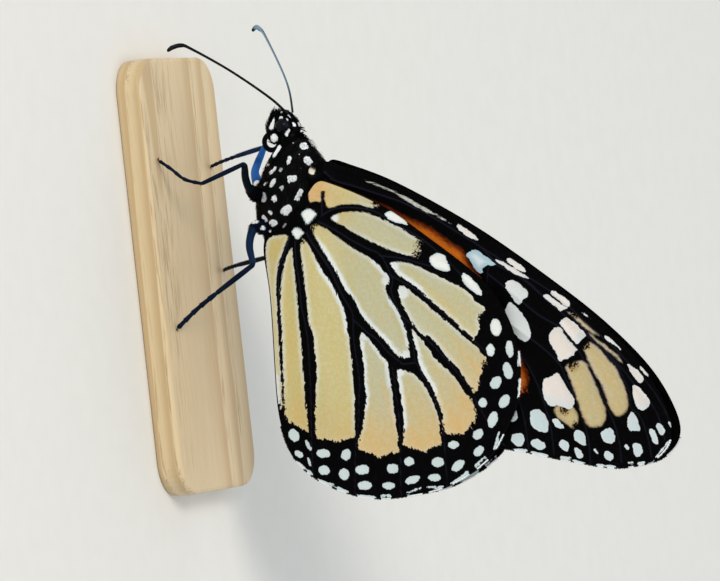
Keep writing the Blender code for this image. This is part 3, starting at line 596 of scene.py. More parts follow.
def strokeDistance(here, path, taper=0.12):
    # Distance to a path, with up to 0.4 mm added towards its ends so that a stroke tapers out
    points = evenly(smoothPath(path, 6), 60)
    distance = np.linalg.norm(here[:, None] - points[None], axis=2)
    share = distance.argmin(1) / (len(points) - 1.0)
    return distance.min(1) + 0.4 * (1.0 - smoothStep(np.minimum(share, 1.0 - share) / taper))


def insideOf(here, path):
    # Counts how often a line towards +X crosses the closed path; odd is inside
    start, end = path, np.roll(path, -1, 0)
    x, z = here[:, None, 0], here[:, None, 1]
    above = (start[None, :, 1] > z) != (end[None, :, 1] > z)
    rise = np.where(end[:, 1] == start[:, 1], 1e-9, end[:, 1] - start[:, 1])
    cross = (end[:, 0] - start[:, 0]) * (z - start[:, 1]) / rise + start[:, 0]
    return ((above & (x < cross)).sum(1) % 2) == 1


def depthInside(here, shapes, reach=1.5):
    # Signed distance in mm to the edge of the nearest shape: above 0 inside, at least -reach
    depth = np.full(len(here), -reach)
    for shape in shapes:
        path = smoothPath(shape, 3, closed=True)
        near = np.flatnonzero(((here > path.min(0) - reach) & (here < path.max(0) + reach)).all(1))
        distance = segmentDistance(here[near], path, closed=True)
        distance = np.where(insideOf(here[near], path), distance, -distance)
        depth[near] = np.maximum(depth[near], distance)
    return depth


def oval(x, z, half, halfAcross, lean):
    # An ellipse's outline, leaned by an angle in degrees
    turn = np.linspace(0.0, math.tau, 12, endpoint=False)
    lean = math.radians(lean)
    u, v = half * np.cos(turn), halfAcross * np.sin(turn)
    return np.stack([x + u * math.cos(lean) - v * math.sin(lean),
                     z + u * math.sin(lean) + v * math.cos(lean)], 1)


def wingPlaces(kind):
    # Coons patch: two rulings between facing edges, less the bilinear patch of the corners
    steps = 16
    edge = smoothPath(kind["outline"], steps, closed=True)
    corners = [corner * steps for corner in kind["corners"]]

    def side(k, count):
        start, end = corners[k], corners[(k + 1) % 4]
        part = edge[start:end + 1] if start < end else np.vstack([edge[start:], edge[:end + 1]])
        return evenly(part, count)

    across, along = wing["across"], wing["along"]
    costa, outer = side(0, along), side(1, across)
    inner, base = side(2, along)[::-1], side(3, across)[::-1]
    u = np.linspace(0.0, 1.0, along)[:, None, None]
    v = np.linspace(0.0, 1.0, across)[None, :, None]
    grid = ((1 - v) * costa[:, None] + v * inner[:, None] + (1 - u) * base[None] + u * outer[None]
            - (1 - u) * (1 - v) * costa[0] - u * (1 - v) * costa[-1]
            - (1 - u) * v * inner[0] - u * v * inner[-1])
    return grid.reshape(-1, 2)


farAway = 9.0


def leastDistance(here, paths, distance):
    # To the nearest of several paths, and farAway where there is none
    return np.min([np.full(len(here), farAway)] + [distance(here, path) for path in paths], axis=0)


def discShare(here, discs):
    # 1 in the middle of the nearest disc, falling evenly to 0 at its reach
    return np.max([np.zeros(len(here))] + [1.0 - np.hypot(here[:, 0] - x, here[:, 1] - z) / reach
                                           for x, z, reach in discs], axis=0)


def wingMarkings(kind, here):
    # Every marking as a field in mm or from 0 to 1, worked out once and used on both sides
    shapes = {key: kind.get(key, {}).values() for key in ("spots", "cells", "blueSpots", "orangeCells",
                                                         "veins", "paleEdges")}
    spots = list(shapes["spots"]) + [oval(*spot) for spot in kind.get("ovalSpots", [])]
    fringe = leastDistance(here, kind["fringe"], segmentDistance)
    pale = [leastDistance(here, shapes["paleEdges"], strokeDistance)]
    pale += [np.maximum(np.hypot(here[:, 0] - x, here[:, 1] - z) - radius, 0.0)
             for x, z, radius in kind.get("paleTips", [])]
    dust = np.full(len(here), farAway)
    if "dust" in kind:
        broad = np.maximum(strokeDistance(here, kind["dustAndHighlightBroad"], 0.28) - 0.1, 0.0)
        dust = np.minimum(strokeDistance(here, kind["dust"]), broad)
    edge = smoothPath(kind["outline"], 6, closed=True)
    outerNear = segmentDistance(here, edge[6 * kind["corners"][1]:6 * kind["corners"][2] + 1])
    fromRoot = here - np.array(kind["root"])
    return {
        "rootFar": np.linalg.norm(fromRoot, axis=1),
        # The angle round the root as mm of arc at 25 mm, for streaks that run out from the root
        "rootTurn": 25.0 * np.arctan2(fromRoot[:, 0], fromRoot[:, 1]),
        "outerNear": outerNear,
        "cellDepth": depthInside(here, shapes["cells"]),
        "spotDepth": np.maximum(depthInside(here, spots, 0.8),
                                0.1 + 0.15 * smoothStep((0.25 - outerNear) / 0.1) - fringe),
        "blueDepth": depthInside(here, shapes["blueSpots"]),
        "orangeDepth": depthInside(here, shapes["orangeCells"]),
        "paleNear": np.min(pale, axis=0),
        "ragged": discShare(here, kind["ragged"]),
        "cool": discShare(here, kind.get("cool", [])),
        "veinNear": leastDistance(here, shapes["veins"], lambda here, path: segmentDistance(
            here, smoothPath(path, 4))),
        "edgeNear": segmentDistance(here, edge, closed=True),
        "dustNear": dust,
    }


def wingBakePlace(kind, here, upper):
    # Flat map turned so that the long axis lies along U, the lower half for the underside
    turn = math.radians(kind["lean"])
    u = here[:, 0] * math.cos(turn) + here[:, 1] * math.sin(turn)
    v = here[:, 1] * math.cos(turn) - here[:, 0] * math.sin(turn)
    size = max(np.ptp(u), 2.0 * np.ptp(v)) * 1.02
    return np.stack([(u - u.min()) / size + 0.005, (v - v.min()) / size + 0.005 + 0.5 * upper], 1)


def makeWing(name, kind, offset, sideName, flat, fields, material):
    # Two skins of a grid, half a thickness either side of the middle surface and joined by a rim.
    # Height over the middle is thickness/2 + veinRise e^-(d/veinReach)^2 for a vein d away.
    side = sides[sideName]
    edgeNear, veinNear = fields["edgeNear"], fields["veinNear"]
    ridge = wing["veinRise"] * np.exp(-(veinNear / wing["veinReach"]) ** 2)
    thin = wing["thickness"] / 2.0 * (0.4 + 0.6 * smoothStep(edgeNear / 0.6))
    wave = wing["wave"] * (smoothStep(veinNear / 1.2) - 0.5) * smoothStep(edgeNear / 2.0)
    middle = offset(flat) - wave
    grow = thin + ridge * smoothStep(edgeNear / 0.8)
    skins = [np.stack([flat[:, 0], side * (middle + rise), flat[:, 1]], 1) for rise in (grow, -grow)]
    rows, columns = wing["along"], wing["across"]
    count = rows * columns
    quads = gridFaces(rows, columns)
    index = np.arange(count).reshape(rows, columns)
    rim = np.concatenate([index[0, :-1], index[:-1, -1], index[-1, :0:-1], index[:0:-1, 0]])
    rimNext = np.roll(rim, -1)
    wall = np.stack([rim, rim + count, rimNext + count, rimNext], 1)
    faces = [quads[:, ::-1], quads + count, wall]
    if side > 0:
        faces = [part[:, ::-1] for part in faces]
    values = {key: np.tile(value, 2) for key, value in fields.items()}
    values["upperSide"] = np.repeat([0.0, 1.0], count)
    bakePlace = np.vstack([wingBakePlace(kind, flat, upper) for upper in (0, 1)])
    made = toMesh("scaled_" + name + "_" + sideName, np.vstack(skins), faces, material, values, bakePlace)
    turnOut(made)
    place(made, "wing_scales", name + "_" + sideName)


wingColours = {
    "fore": {"cell": "#BEB586", "cellWarm": "#CAB37E", "cellGrey": "#B7B48E", "cellGold": "#C2AF74",
             "spot": "#EAE1DA", "spotOuter": "#CBDBDF", "spotEdge": "#D6DDE0", "cellRim": "#A07A42",
             "upper": "#C8611A"},
    "hind": {"cell": "#CABF88", "cellWarm": "#DCB470", "cellGrey": "#C2C09E", "cellGold": "#CDB96F",
             "spot": "#EEF0ED", "spotOuter": "#D0DDDC", "spotEdge": "#C4D6DA", "cellRim": "#CDB477",
             "upper": "#D4701F"},
    # Painted light among these colours: the vein colour is a painted sheen on the glossy veins, and the
    # costal streak's pale colour is in part a painted highlight
    "ground": "#020203", "groundWorn": "#07060A", "veinPaintedSheen": "#232536", "dust": "#CBCAC2", "pale": "#E2E9E9",
    "root": "#DFA05A", "rootTan": "#D2BE85", "blue": "#B3D0DC", "blueHeart": "#DCE6EA",
    "orange": "#DC7420", "orangeDeep": "#511B07",
}


def wingMaterial(kindName):
    # Wing scales are rows of thin matt plates, so every border between two colours is ragged.
    # The scales are 0.1 mm apart, too fine to show, and are drawn about one and a half times as coarse.
    colours = {**wingColours, **wingColours[kindName]}
    isFore = kindName == "fore"
    add, finish = startMaterial("wingScales" + kindName.capitalize())
    here = add("place")
    height = add("apart", here, output="Z")
    fine = add("noise", here, perMetre / 0.15, 2.0, 0.7)
    medium = add("noise", here, perMetre / 0.4, 2.0, 0.6)
    broad = add("noise", here, perMetre / 3.0, 2.0, 0.5)

    def streaks(width, length, offset=0.0):
        # Noise drawn out along the lines from the root, width mm across and length mm long
        across, along = add("times", "rootTurn", 1.0 / width), add("times", "rootFar", 1.0 / length)
        return add("noise", add("joined", across, along, offset), 1.0, 2.0, 0.55)

    # The scales of a border stand in rows that point away from the root
    loose = add("plus", add("times", streaks(0.26, 0.7, 8.0), 0.7), add("times", fine, 0.3))
    loose = add("minus", loose, 0.5)
    jitter = add("times", loose, add("spread", "outerNear", 8.0, 5.5, 0.85, 1.5))
    jitter = add("times", jitter, add("spread", "ragged", 0.0, 0.6, 1.0, 3.0))
    # Black scales strewn over the cells' ends, thickest in the middle of each ragged place
    strewn = add("plus", add("noise", here, perMetre / 0.2, 2.0, 0.65), add("times", "ragged", 0.36))
    strewn = add("times", add("spread", strewn, 0.66, 0.74), add("spread", "ragged", 0.0, 0.15))
    unstrewn = add("minus", 1.0, strewn)
    small = add("times", loose, add("spread", "rootFar", 8.0, 5.0, 0.5, 1.0))

    def inside(field, extra=0.0, soft=0.03, shake=jitter):
        # 1 where the field, shaken by the noise and shifted by extra, is above 0
        return add("spread", add("plus", add("plus", field, shake), extra), -soft, soft)

    grey = add("times", add("spread", "rootFar", 3.0, 6.5), add("spread", height, 0.0185, 0.025))
    tan = add("mix", grey, colours["cell"], colours["cellGrey"])
    gold = add("plus", add("spread", streaks(1.6, 14.0), 0.42, 0.68, 0.0, 0.4),
               add("spread", height, 0.0175, 0.0145, 0.0, 0.45), use_clamp=True)
    tan = add("mix", gold, tan, colours["cellGold"])
    warm = add("times", add("spread", "rootFar", 22.0, 33.0, 0.0, 0.72),
               add("spread", broad, 0.2, 0.6, 0.5, 1.0))
    warm = add("plus", warm, add("spread", streaks(0.9, 9.0, 4.0), 0.5, 0.72, 0.0, 0.3), use_clamp=True)
    tan = add("mix", warm, tan, colours["cellWarm"])
    if not isFore:
        tan = add("mix", add("spread", "rootFar", 6.0, 2.6, 0.0, 0.8), tan, colours["rootTan"])
        tan = add("mix", add("spread", "rootFar", 2.8, 0.6, 0.0, 0.5), tan, colours["root"])
    # Cells grow paler towards their own edges, most of all between the root and the last third
    shaken = add("times", loose, 0.9)
    nearEdge = add("spread", add("plus", "cellDepth", shaken), 0.62, 0.0)
    edgeShare = add("times", add("spread", "outerNear", 6.0, 10.0, 0.12, 0.5),
                    add("spread", "rootFar", 3.5, 9.0))
    tan = add("mix", add("times", nearEdge, edgeShare), tan, colours["pale"])
    tan = add("mix", add("spread", medium, 0.35, 0.75, 0.0, 0.12), tan, colours["pale"])
    rimShare = add("most", add("spread", "ragged", 0.0, 0.7, 0.0, 0.7 if isFore else 0.4),
                   add("times", nearEdge, 0.45 if isFore else 0.0))
    tan = add("mix", rimShare, tan, colours["cellRim"])
    paleShare = add("spread", add("plus", "paleNear", shaken), 0.55, 0.08, 0.0, 0.92)
    tan = add("mix", paleShare, tan, colours["pale"])

    colour = add("mix", add("spread", medium, 0.45, 0.8), colours["ground"], colours["groundWorn"])
    orange = add("mix", add("spread", add("plus", "orangeDepth", jitter), 0.1, 1.0),
                 colours["orangeDeep"], colours["orange"])
    colour = add("mix", add("times", inside("orangeDepth", 0.0, 0.1), unstrewn), colour, orange)
    # Painted sheen: the glossy vein ridges are drawn lighter and bluer near each vein
    colour = add("mix", add("spread", "veinNear", 0.14, 0.03, 0.0, 0.4), colour, colours["veinPaintedSheen"])
    # The pale costal streak: in part pale scales, in part a painted highlight along the costal edge
    dust = add("spread", add("plus", "dustNear", add("times", loose, 0.55)), 0.15, 0.03)
    dust = add("times", dust, add("spread", fine, 0.3, 0.6, 0.5, 1.0))
    colour = add("mix", dust, colour, colours["dust"])
    cell = inside("cellDepth", -0.08, 0.16, small) if isFore else inside("cellDepth")
    # The very edge of the wing is black
    cell = add("times", add("times", cell, add("spread", "edgeNear", 0.09, 0.15)), unstrewn)
    colour = add("mix", cell, colour, tan)
    blue = add("mix", add("spread", "blueDepth", 0.2, 0.8), colours["blue"], colours["blueHeart"])
    colour = add("mix", inside("blueDepth", 0.0, 0.04, small), colour, blue)
    cool = add("most", add("spread", "outerNear", 7.8, 4.3), add("spread", "cool", 0.0, 0.5, 0.0, 0.62))
    spot = add("mix", cool, colours["spot"], colours["spotOuter"])
    spot = add("mix", add("spread", "spotDepth", 0.3, 0.02, 0.0, 0.7), spot, colours["spotEdge"])
    spotShare = inside("spotDepth", 0.0, 0.03, small)
    colour = add("mix", spotShare, colour, spot)
    # Upper side: the same cells in orange, wider because the dark veins are thinner there
    upper = add("mix", add("most", inside("cellDepth", 0.22), inside("orangeDepth", 0.35)),
                colours["ground"], colours["upper"])
    upperSpot = add("most", add("spread", "edgeNear", 1.2, 1.4), add("spread", "outerNear", 0.3, 0.2))
    upper = add("mix", add("times", spotShare, upperSpot), upper, spot)
    colour = add("mix", "upperSide", colour, upper)
    shade = add("spread", fine, 0.2, 0.8, 0.88, 1.05, interpolation_type="LINEAR")
    colour = add("mix", 1.0, colour, add("grey", shade, shade, shade), blend_type="MULTIPLY")
    rows = add("noise", add("stretched", here, (1.0, 1.0, 0.3)), perMetre / 0.25, 1.0, 0.5)
    rows = add("plus", fine, add("times", rows, 0.6))
    return finish(Base_Color=colour, Normal=add("bump", rows, 0.02 / perMetre, 0.6),
                  Roughness=add("spread", "veinNear", 0.06, 0.3, 0.42, 0.62), Specular_IOR_Level=0.03)


# Tufts: hairs and scales as small closed locks

def tuftMesh(name, roots, grow, lie, length, width, material, values, bakeRoots, flat=0.45, lift=0.5,
             sink=0.06):
    # Spine: root + L (lie t + grow lift t (1 - t/2)); half width W (1 - t^2) at four stations.
    # Each section is a triangle across the spine, flattened by flat, and the last is the tip.
    count = len(roots)
    across = unit(np.cross(grow, lie))
    stations = np.array([0.0, 0.35, 0.72])
    perTuft = 3 * len(stations) + 1
    length, width, lift = (np.broadcast_to(part, count) for part in (length, width, lift))

    def spine(t):
        return (roots - sink * grow + (length[:, None] * t) * lie
                + (length * lift * t * (1.0 - 0.5 * t))[:, None] * grow)

    rings = []
    for t in stations:
        middle, half = spine(t), (width * (1.0 - t * t) * 0.5)[:, None]
        for u, v in ((-1.0, -0.5), (1.0, -0.5), (0.0, 1.0)):
            rings.append(middle + half * (u * across + v * flat * grow))
    points = np.stack(rings + [spine(1.0)], 1)
    base = (np.arange(count) * perTuft)[:, None, None]
    quads = [[a + j, a + (j + 1) % 3, a + 3 + (j + 1) % 3, a + 3 + j] for a in (0, 3) for j in range(3)]
    triangles = [[6 + j, 6 + (j + 1) % 3, 9] for j in range(3)] + [[2, 1, 0]]
    faces = [(base + np.array(quads)).reshape(-1, 4), (base + np.array(triangles)).reshape(-1, 3)]
    values = {key: np.repeat(value, perTuft) for key, value in values.items()}
    values["tipness"] = np.tile(np.append(np.repeat(stations, 3), 1.0), count)
    patch = 0.003 * (np.array([(u, t) for t in stations for u in (0.0, 1.0, 0.5)] + [(0.5, 1.0)]) - 0.5)
    bakePlace = (bakeRoots[:, None, :] + patch[None]).reshape(-1, 2)
    return toMesh(name, points.reshape(-1, 3), faces, material, values, bakePlace)


def scatter(surface, count, seed, sRange=(0.0, 1.0)):
    # Roots spread evenly over a surface: random (s, t) kept in proportion to the local area
    random = np.random.default_rng(seed)
    s = random.uniform(*sRange, count * 6)
    t = random.uniform(0.0, 1.0, count * 6)
    area = surfaceFrame(surface, s, t)[3]
    keep = np.flatnonzero(random.uniform(0.0, 1.0, len(s)) < area / np.percentile(area, 99))[:count]
    return s[keep], t[keep], random


def combed(way, normal, random, loose):
    # A tangent with a random lean, laid flat on the surface again
    lie = way + loose * random.normal(size=way.shape)
    return unit(lie - normal * np.einsum("ij,ij->i", lie, normal)[:, None])


def coatValues(dot, shade=1.0, belt=0.0, **others):
    # What skin and coat read: depth into a white dot in mm, how white it is, share of pale belt
    shade, belt = (np.broadcast_to(value, dot.shape) for value in (shade, belt))
    return {"dot": dot, "shade": shade, "belt": belt, **others}


# Body: one skin from head to tail under the coat

body = {
    # x, middle z, half height, half width at the tips of the hair, then the coat's depth
    "sections": [
        (-17.6, 15.65, 0.28, 0.42, 0.1), (-17.2, 15.8, 0.72, 0.88, 0.13), (-16.8, 15.92, 1.01, 1.1, 0.14),
        (-16.2, 16.15, 1.26, 1.25, 0.15), (-15.3, 16.3, 1.42, 1.3, 0.15), (-14.6, 16.32, 1.25, 1.2, 0.18),
        (-13.95, 16.85, 1.74, 1.2, 0.25), (-13.3, 16.95, 2.13, 1.5, 0.3), (-12.0, 16.49, 3.31, 2.2, 0.35),
        (-11.1, 16.43, 3.98, 2.45, 0.37), (-10.4, 16.25, 4.2, 2.65, 0.38), (-8.4, 15.8, 4.6, 2.75, 0.38),
        (-6.4, 15.4, 4.5, 2.65, 0.36), (-4.6, 15.05, 4.0, 2.35, 0.34), (-3.2, 14.9, 3.15, 2.0, 0.3),
        (-2.1, 15.15, 1.95, 1.6, 0.22), (-0.8, 15.1, 1.85, 1.7, 0.16), (2.5, 15.0, 2.0, 1.85, 0.14),
        (6.5, 14.9, 1.9, 1.8, 0.13), (10.0, 14.7, 1.55, 1.5, 0.12), (12.6, 14.5, 1.05, 1.05, 0.11),
        (14.1, 14.3, 0.5, 0.52, 0.1),
    ],
    "around": 96, "along": 260,
    # The abdomen's segments: where they begin, their whole length, their number and their rise
    "abdomenFrom": -1.6, "abdomenLength": 15.8, "rings": 9, "ringRise": 0.05,
}
# White dots of scales on the left side, mirrored on the right: two ends and the half width in mm, then
# the shade, which is below 1 for a dim one and 2 for a cream one
bodyDots = np.array([
    (-11.45, -1.44, 13.47, -11.45, -1.44, 13.47, 0.18, 1.0),
    (-10.96, -2.26, 14.69, -10.57, -2.24, 14.13, 0.22, 1.0),
    (-10.75, -2.54, 15.58, -10.75, -2.54, 15.58, 0.21, 0.45),
    (-11.93, -2.22, 16.68, -11.51, -2.35, 16.54, 0.27, 1.0),
    (-11.51, -1.79, 18.84, -11.26, -1.76, 19.09, 0.44, 1.0),
    (-10.6, -2.33, 18.21, -10.6, -2.33, 18.21, 0.09, 0.6),
    (-10.27, -2.42, 19.44, -10.23, -2.43, 19.43, 0.51, 2.0),
    (-9.58, -2.68, 16.7, -9.58, -2.61, 17.24, 0.36, 1.0),
    (-9.58, -2.54, 14.52, -9.17, -2.49, 14.14, 0.27, 1.0),
    (-9.47, -2.14, 13.31, -9.28, -2.08, 13.1, 0.11, 0.9),
    (-8.69, -2.74, 15.56, -8.69, -2.74, 15.56, 0.27, 0.6),
    (-8.01, -2.44, 17.84, -7.25, -2.52, 17.28, 0.3, 1.0),
    (-8.05, -2.12, 12.79, -7.63, -2.17, 12.82, 0.36, 0.65),
    (-7.63, -2.62, 14.33, -7.48, -2.63, 14.41, 0.3, 1.0),
    (-6.2, -2.6, 16.04, -5.98, -2.6, 15.51, 0.47, 1.0),
    (-6.16, -2.37, 13.43, -5.98, -2.42, 13.7, 0.15, 0.85),
    (-5.65, -1.91, 12.38, -5.21, -2.02, 12.74, 0.22, 1.0),
    (-4.85, -2.22, 13.53, -4.81, -2.3, 13.96, 0.33, 1.0),
    (-4.46, -2.31, 15.41, -4.22, -2.27, 15.13, 0.17, 0.5),
    (-4.6, -1.47, 11.93, -4.29, -1.5, 12.09, 0.21, 0.85),
    (-3.95, -1.89, 13.06, -3.95, -1.89, 13.06, 0.14, 0.95),
    (-13.12, -1.28, 18.27, -13.15, -1.14, 18.48, 0.43, 1.0),
    (-13.61, -1.34, 17.02, -13.61, -1.34, 17.02, 0.11, 0.45),
    (-12.22, -1.9, 17.88, -12.22, -1.9, 17.88, 0.1, 0.45),
    (-16.61, -1.1, 15.64, -16.64, -1.14, 15.83, 0.21, 1.0),
    (-17.33, -0.74, 15.82, -17.28, -0.8, 15.82, 0.11, 0.5),
    (-16.41, -1.13, 16.52, -16.27, -1.15, 16.59, 0.13, 0.9),
    (-16.93, -0.71, 16.56, -16.64, -0.74, 16.82, 0.09, 0.6),
    (-15.87, -0.87, 17.21, -15.72, -0.82, 17.31, 0.18, 1.0),
    (-15.83, -0.14, 17.57, -15.61, -0.17, 17.64, 0.11, 0.9),
    (-15.15, -1.25, 16.63, -14.71, -1.21, 16.23, 0.18, 1.0),
    (-13.64, -0.1, 18.86, -13.03, -0.22, 19.21, 0.1, 0.8),
])
coatColours = {"hair": "#030304", "hairTip": "#0B0C10", "dot": "#F7FCFF", "dotDim": "#5E686C",
               "dotCream": "#F4EFDA", "cuticle": "#030304", "belt": "#C9C6B4"}
bodyPath = evenly(smoothPath(body["sections"], 20), body["along"])


def ringShare(x):
    # How many of the abdomen's segments lie between its front and x
    return (x - body["abdomenFrom"]) / body["abdomenLength"] * body["rings"]


def bodySurface(s, t, out=0.0):
    # Ellipse x(s), z(s) + h(s) cos, w(s) sin of the angle t turns from the belly; out adds share of coat.
    # Each of the abdomen's segments rises by |sin|^0.6 of the distance along it.
    spot = np.clip(s, 0.0, 1.0) * (len(bodyPath) - 1)
    x, z, high, wide, deep = (np.interp(spot, np.arange(len(bodyPath)), column) for column in bodyPath.T)
    angle = math.tau * np.asarray(t)
    rise = np.where(x > body["abdomenFrom"], np.abs(np.sin(math.pi * ringShare(x))) ** 0.6, 0.0)
    grow = body["ringRise"] * rise - deep * (1.0 - out)
    high, wide = np.maximum(high + grow, 0.02), np.maximum(wide + grow, 0.02)
    return np.stack([x, -wide * np.sin(angle), z - high * np.cos(angle)], -1)


def bodyShares(ends):
    # The shares s of the body's length at two places along X
    s = np.linspace(0, 1, 400)
    return np.interp(ends, bodySurface(s, np.full(400, 0.25))[:, 0], s)


def bodyDotFields(places):
    # Signed distance into the nearest dot, a capsule with a wavy edge, and how white that dot is
    x, y, z = places.T
    wave = 0.028 * (np.sin(8.3 * x + 5.1 * z) + np.sin(6.7 * z - 9.1 * x + 3.0 * np.abs(y)))
    left = np.stack([x, -np.abs(y), z], 1)
    depth, shade = np.full(len(places), -1.0), np.ones(len(places))
    for dot in bodyDots:
        start, way, half, white = dot[:3], dot[3:6] - dot[:3], dot[6], dot[7]
        share = np.clip((left - start) @ way / max(way @ way, 1e-9), 0.0, 1.0)
        inside = half - np.linalg.norm(left - start - share[:, None] * way, axis=1)
        inside += wave * min(half / 0.3, 1.0)
        shade = np.where(inside > depth, white, shade)
        depth = np.maximum(depth, inside)
    return depth, shade


def beltShare(places):
    # Pale belts at the segments' hind edges, low on the abdomen's sides
    share = ringShare(places[:, 0])
    near = 1.0 - np.abs(share - np.round(share)) / 0.14
    low = smoothStep((15.2 - places[:, 2]) / 0.8)
    return np.clip(near, 0.0, 1.0) * low * (places[:, 0] > -1.2)


def dotColour(add):
    # Dim at shade 0, white at 1, cream at 2
    white = add("mix", add("least", "shade", 1.0), coatColours["dotDim"], coatColours["dot"])
    return add("mix", add("minus", "shade", 1.0, use_clamp=True), white, coatColours["dotCream"])


def skinMaterial():
    # Chitin under the coat: near black and a little glossy, with the coat's own white dots
    add, finish = startMaterial("bodyCuticle")
    grain = add("noise", add("place"), perMetre / 0.15, 3.0, 0.6)
    colour = add("mix", add("spread", grain, 0.3, 0.8), coatColours["cuticle"], coatColours["hairTip"])
    colour = add("mix", add("times", "belt", 0.6), colour, coatColours["belt"])
    shaken = add("plus", "dot", add("times", add("minus", grain, 0.5), 0.1))
    colour = add("mix", add("spread", shaken, -0.02, 0.04), colour, dotColour(add))
    return finish(Base_Color=colour, Roughness=0.55, Specular_IOR_Level=0.1,
                  Normal=add("bump", grain, 0.03 / perMetre, 0.7))


def coatMaterial():
    # Hair-like scales: black chitin with a cool gloss at the tips, and matt white scales in the dots
    add, finish = startMaterial("bodyHair")
    colour = add("mix", add("times", "tipness", "tone"), coatColours["hair"], coatColours["hairTip"])
    colour = add("mix", add("times", "belt", add("spread", "tone", 0.2, 0.6)), colour, coatColours["belt"])
    isDot = add("spread", "dot", -0.02, 0.02)
    colour = add("mix", isDot, colour, dotColour(add))
    grain = add("noise", add("place"), perMetre / 0.06, 2.0, 0.5)
    return finish(Base_Color=colour, Normal=add("bump", grain, 0.01 / perMetre, 0.5),
                  Roughness=add("spread", isDot, 0.0, 1.0, 0.5, 0.7), Specular_IOR_Level=0.07)


coatRegions = {
    # Where it starts and ends along X, then its tufts
    "head": {"ends": (-17.7, -13.95), "tufts": 8500, "length": 0.3, "width": 0.055, "lift": 0.8,
             "seed": 3},
    "thorax": {"ends": (-13.95, -2.4), "tufts": 10500, "length": 0.62, "width": 0.075, "lift": 0.5,
               "seed": 5},
    "abdomen": {"ends": (-2.4, 14.2), "tufts": 11500, "length": 0.42, "width": 0.11, "lift": 0.3,
                "seed": 8},
}
# White scales in a dot, and the longest that a hair next to one may be
dotTuft = {"length": 0.2, "width": 0.15, "lift": 0.45, "beside": 0.22}


def makeBody(skin, hair):
    def fields(points, s, t):
        # Read at the coat's outer surface, so that skin and coat agree
        outer = bodySurface(s, t, 1.0)
        return coatValues(*bodyDotFields(outer), beltShare(outer))

    made = closedTube("body_skin", bodySurface, body["along"], body["around"], skin, fields)
    place(made, "hair_black", "head", "thorax", "abdomen")
    print("body skin done")
    for name, region in coatRegions.items():
        sRange = bodyShares(region["ends"])
        s, t, random = scatter(bodySurface, region["tufts"], region["seed"], sRange)
        dotS, dotT, _ = scatter(bodySurface, 2 * region["tufts"], region["seed"] + 50, sRange)
        isDot = np.repeat([False, True], [len(s), len(dotS)])
        s, t = np.append(s, dotS), np.append(t, dotT)
        here, normal, alongS, _ = surfaceFrame(bodySurface, s, t)
        outer = bodySurface(s, t, 1.0)
        eyeGap = np.min([np.linalg.norm(here - mirrored(eye["centre"], sideName), axis=1)
                         for sideName in sides], axis=0) - eye["radius"]
        keep = (isDot == (bodyDotFields(outer)[0] > 0.03)) & (eyeGap > 0.08)
        s, t, here, normal, alongS, outer, isDot = (
            part[keep] for part in (s, t, here, normal, alongS, outer, isDot))
        count = len(s)
        lie = combed(alongS, normal, random, 0.15)
        top = smoothStep((normal[:, 2] + 0.1) / 0.9)
        length = region["length"] * (0.7 + 0.6 * random.uniform(size=count))
        if name == "thorax":
            length *= 1.0 + 0.25 * top
        if name == "head":
            under = smoothStep((-0.1 - normal[:, 2]) / 0.5) * smoothStep((here[:, 0] + 17.1) / 0.8)
            nearNape = top * smoothStep((here[:, 0] + 16.2) / 1.0)
            length *= (1.0 + 2.6 * under) * (1.0 - 0.3 * nearNape)
        # A black hair that would reach over a dot is cut short of it
        for share in (0.35, 0.7, 1.0):
            over = bodyDotFields(here + 0.2 * normal + (share * length)[:, None] * lie)[0] > -0.04
            length = np.where(over & ~isDot, np.minimum(length, dotTuft["beside"]), length)
        width = region["width"] * (0.8 + 0.4 * random.uniform(size=count))
        lift = region["lift"] * (0.6 + 0.8 * random.uniform(size=count))
        if name != "abdomen":
            clump = 0.5 + 0.5 * np.sin(7.0 * here[:, 0] + 3.0 * here[:, 2]) * np.sin(6.0 * here[:, 1] + 1.0)
            lift *= 0.6 + 0.8 * clump
            lift *= 1.0 + 0.5 * top * smoothStep((-10.0 - here[:, 0]) / 2.0) * random.uniform(size=count)
        length, width, lift = (np.where(isDot, dotTuft[key], part) for key, part in (
            ("length", length), ("width", width), ("lift", lift)))
        values = coatValues(np.where(isDot, 1.0, -1.0), bodyDotFields(outer)[1], beltShare(outer),
                            tone=random.uniform(size=count))
        # White scales stand over the black hair, on just over half of the coat's depth
        depth = np.where(isDot, 0.55, 0.0) * np.linalg.norm(outer - here, axis=1)
        coat = tuftMesh("coat_" + name, here + depth[:, None] * normal, normal, lie, length, width, hair,
                        values, np.stack([s, t], 1), 0.4, lift)
        place(coat, "hair_black")
        print("coat", name, count, "tufts")


nape = {"ends": (-15.5, -14.0), "tufts": 190, "length": 0.85, "width": 0.2, "lift": 1.75, "seed": 31}


def makeNape(hair):
    # Long pointed locks that stand up between the head and the thorax, gathered in clumps
    s, t, random = scatter(bodySurface, 6 * nape["tufts"], nape["seed"], bodyShares(nape["ends"]))
    here, normal, alongS, _ = surfaceFrame(bodySurface, s, t)
    clump = np.sin(5.2 * here[:, 0] + 1.0) + np.sin(5.0 * here[:, 1] + 2.0 * here[:, 0])
    keep = (normal[:, 2] > 0.3) & (clump > 0.1) & (bodyDotFields(here)[0] < -0.25)
    keep = np.flatnonzero(keep)[:nape["tufts"]]
    s, t, here, normal, alongS = (part[keep] for part in (s, t, here, normal, alongS))
    count = len(keep)
    lie = combed(alongS, normal, random, 0.3)
    middle = np.exp(-((here[:, 0] + 14.9) / 0.35) ** 2)
    length = nape["length"] * (0.35 + 1.25 * middle) * (0.7 + 0.5 * random.uniform(size=count))
    values = coatValues(np.full(count, -1.0), tone=random.uniform(size=count))
    coat = tuftMesh("coat_nape", here, normal, 0.25 * lie, length, nape["width"], hair, values,
                    np.stack([s, t], 1), 0.5, nape["lift"])
    place(coat, "hair_black")


# Head parts, given for the left side and mirrored for the right

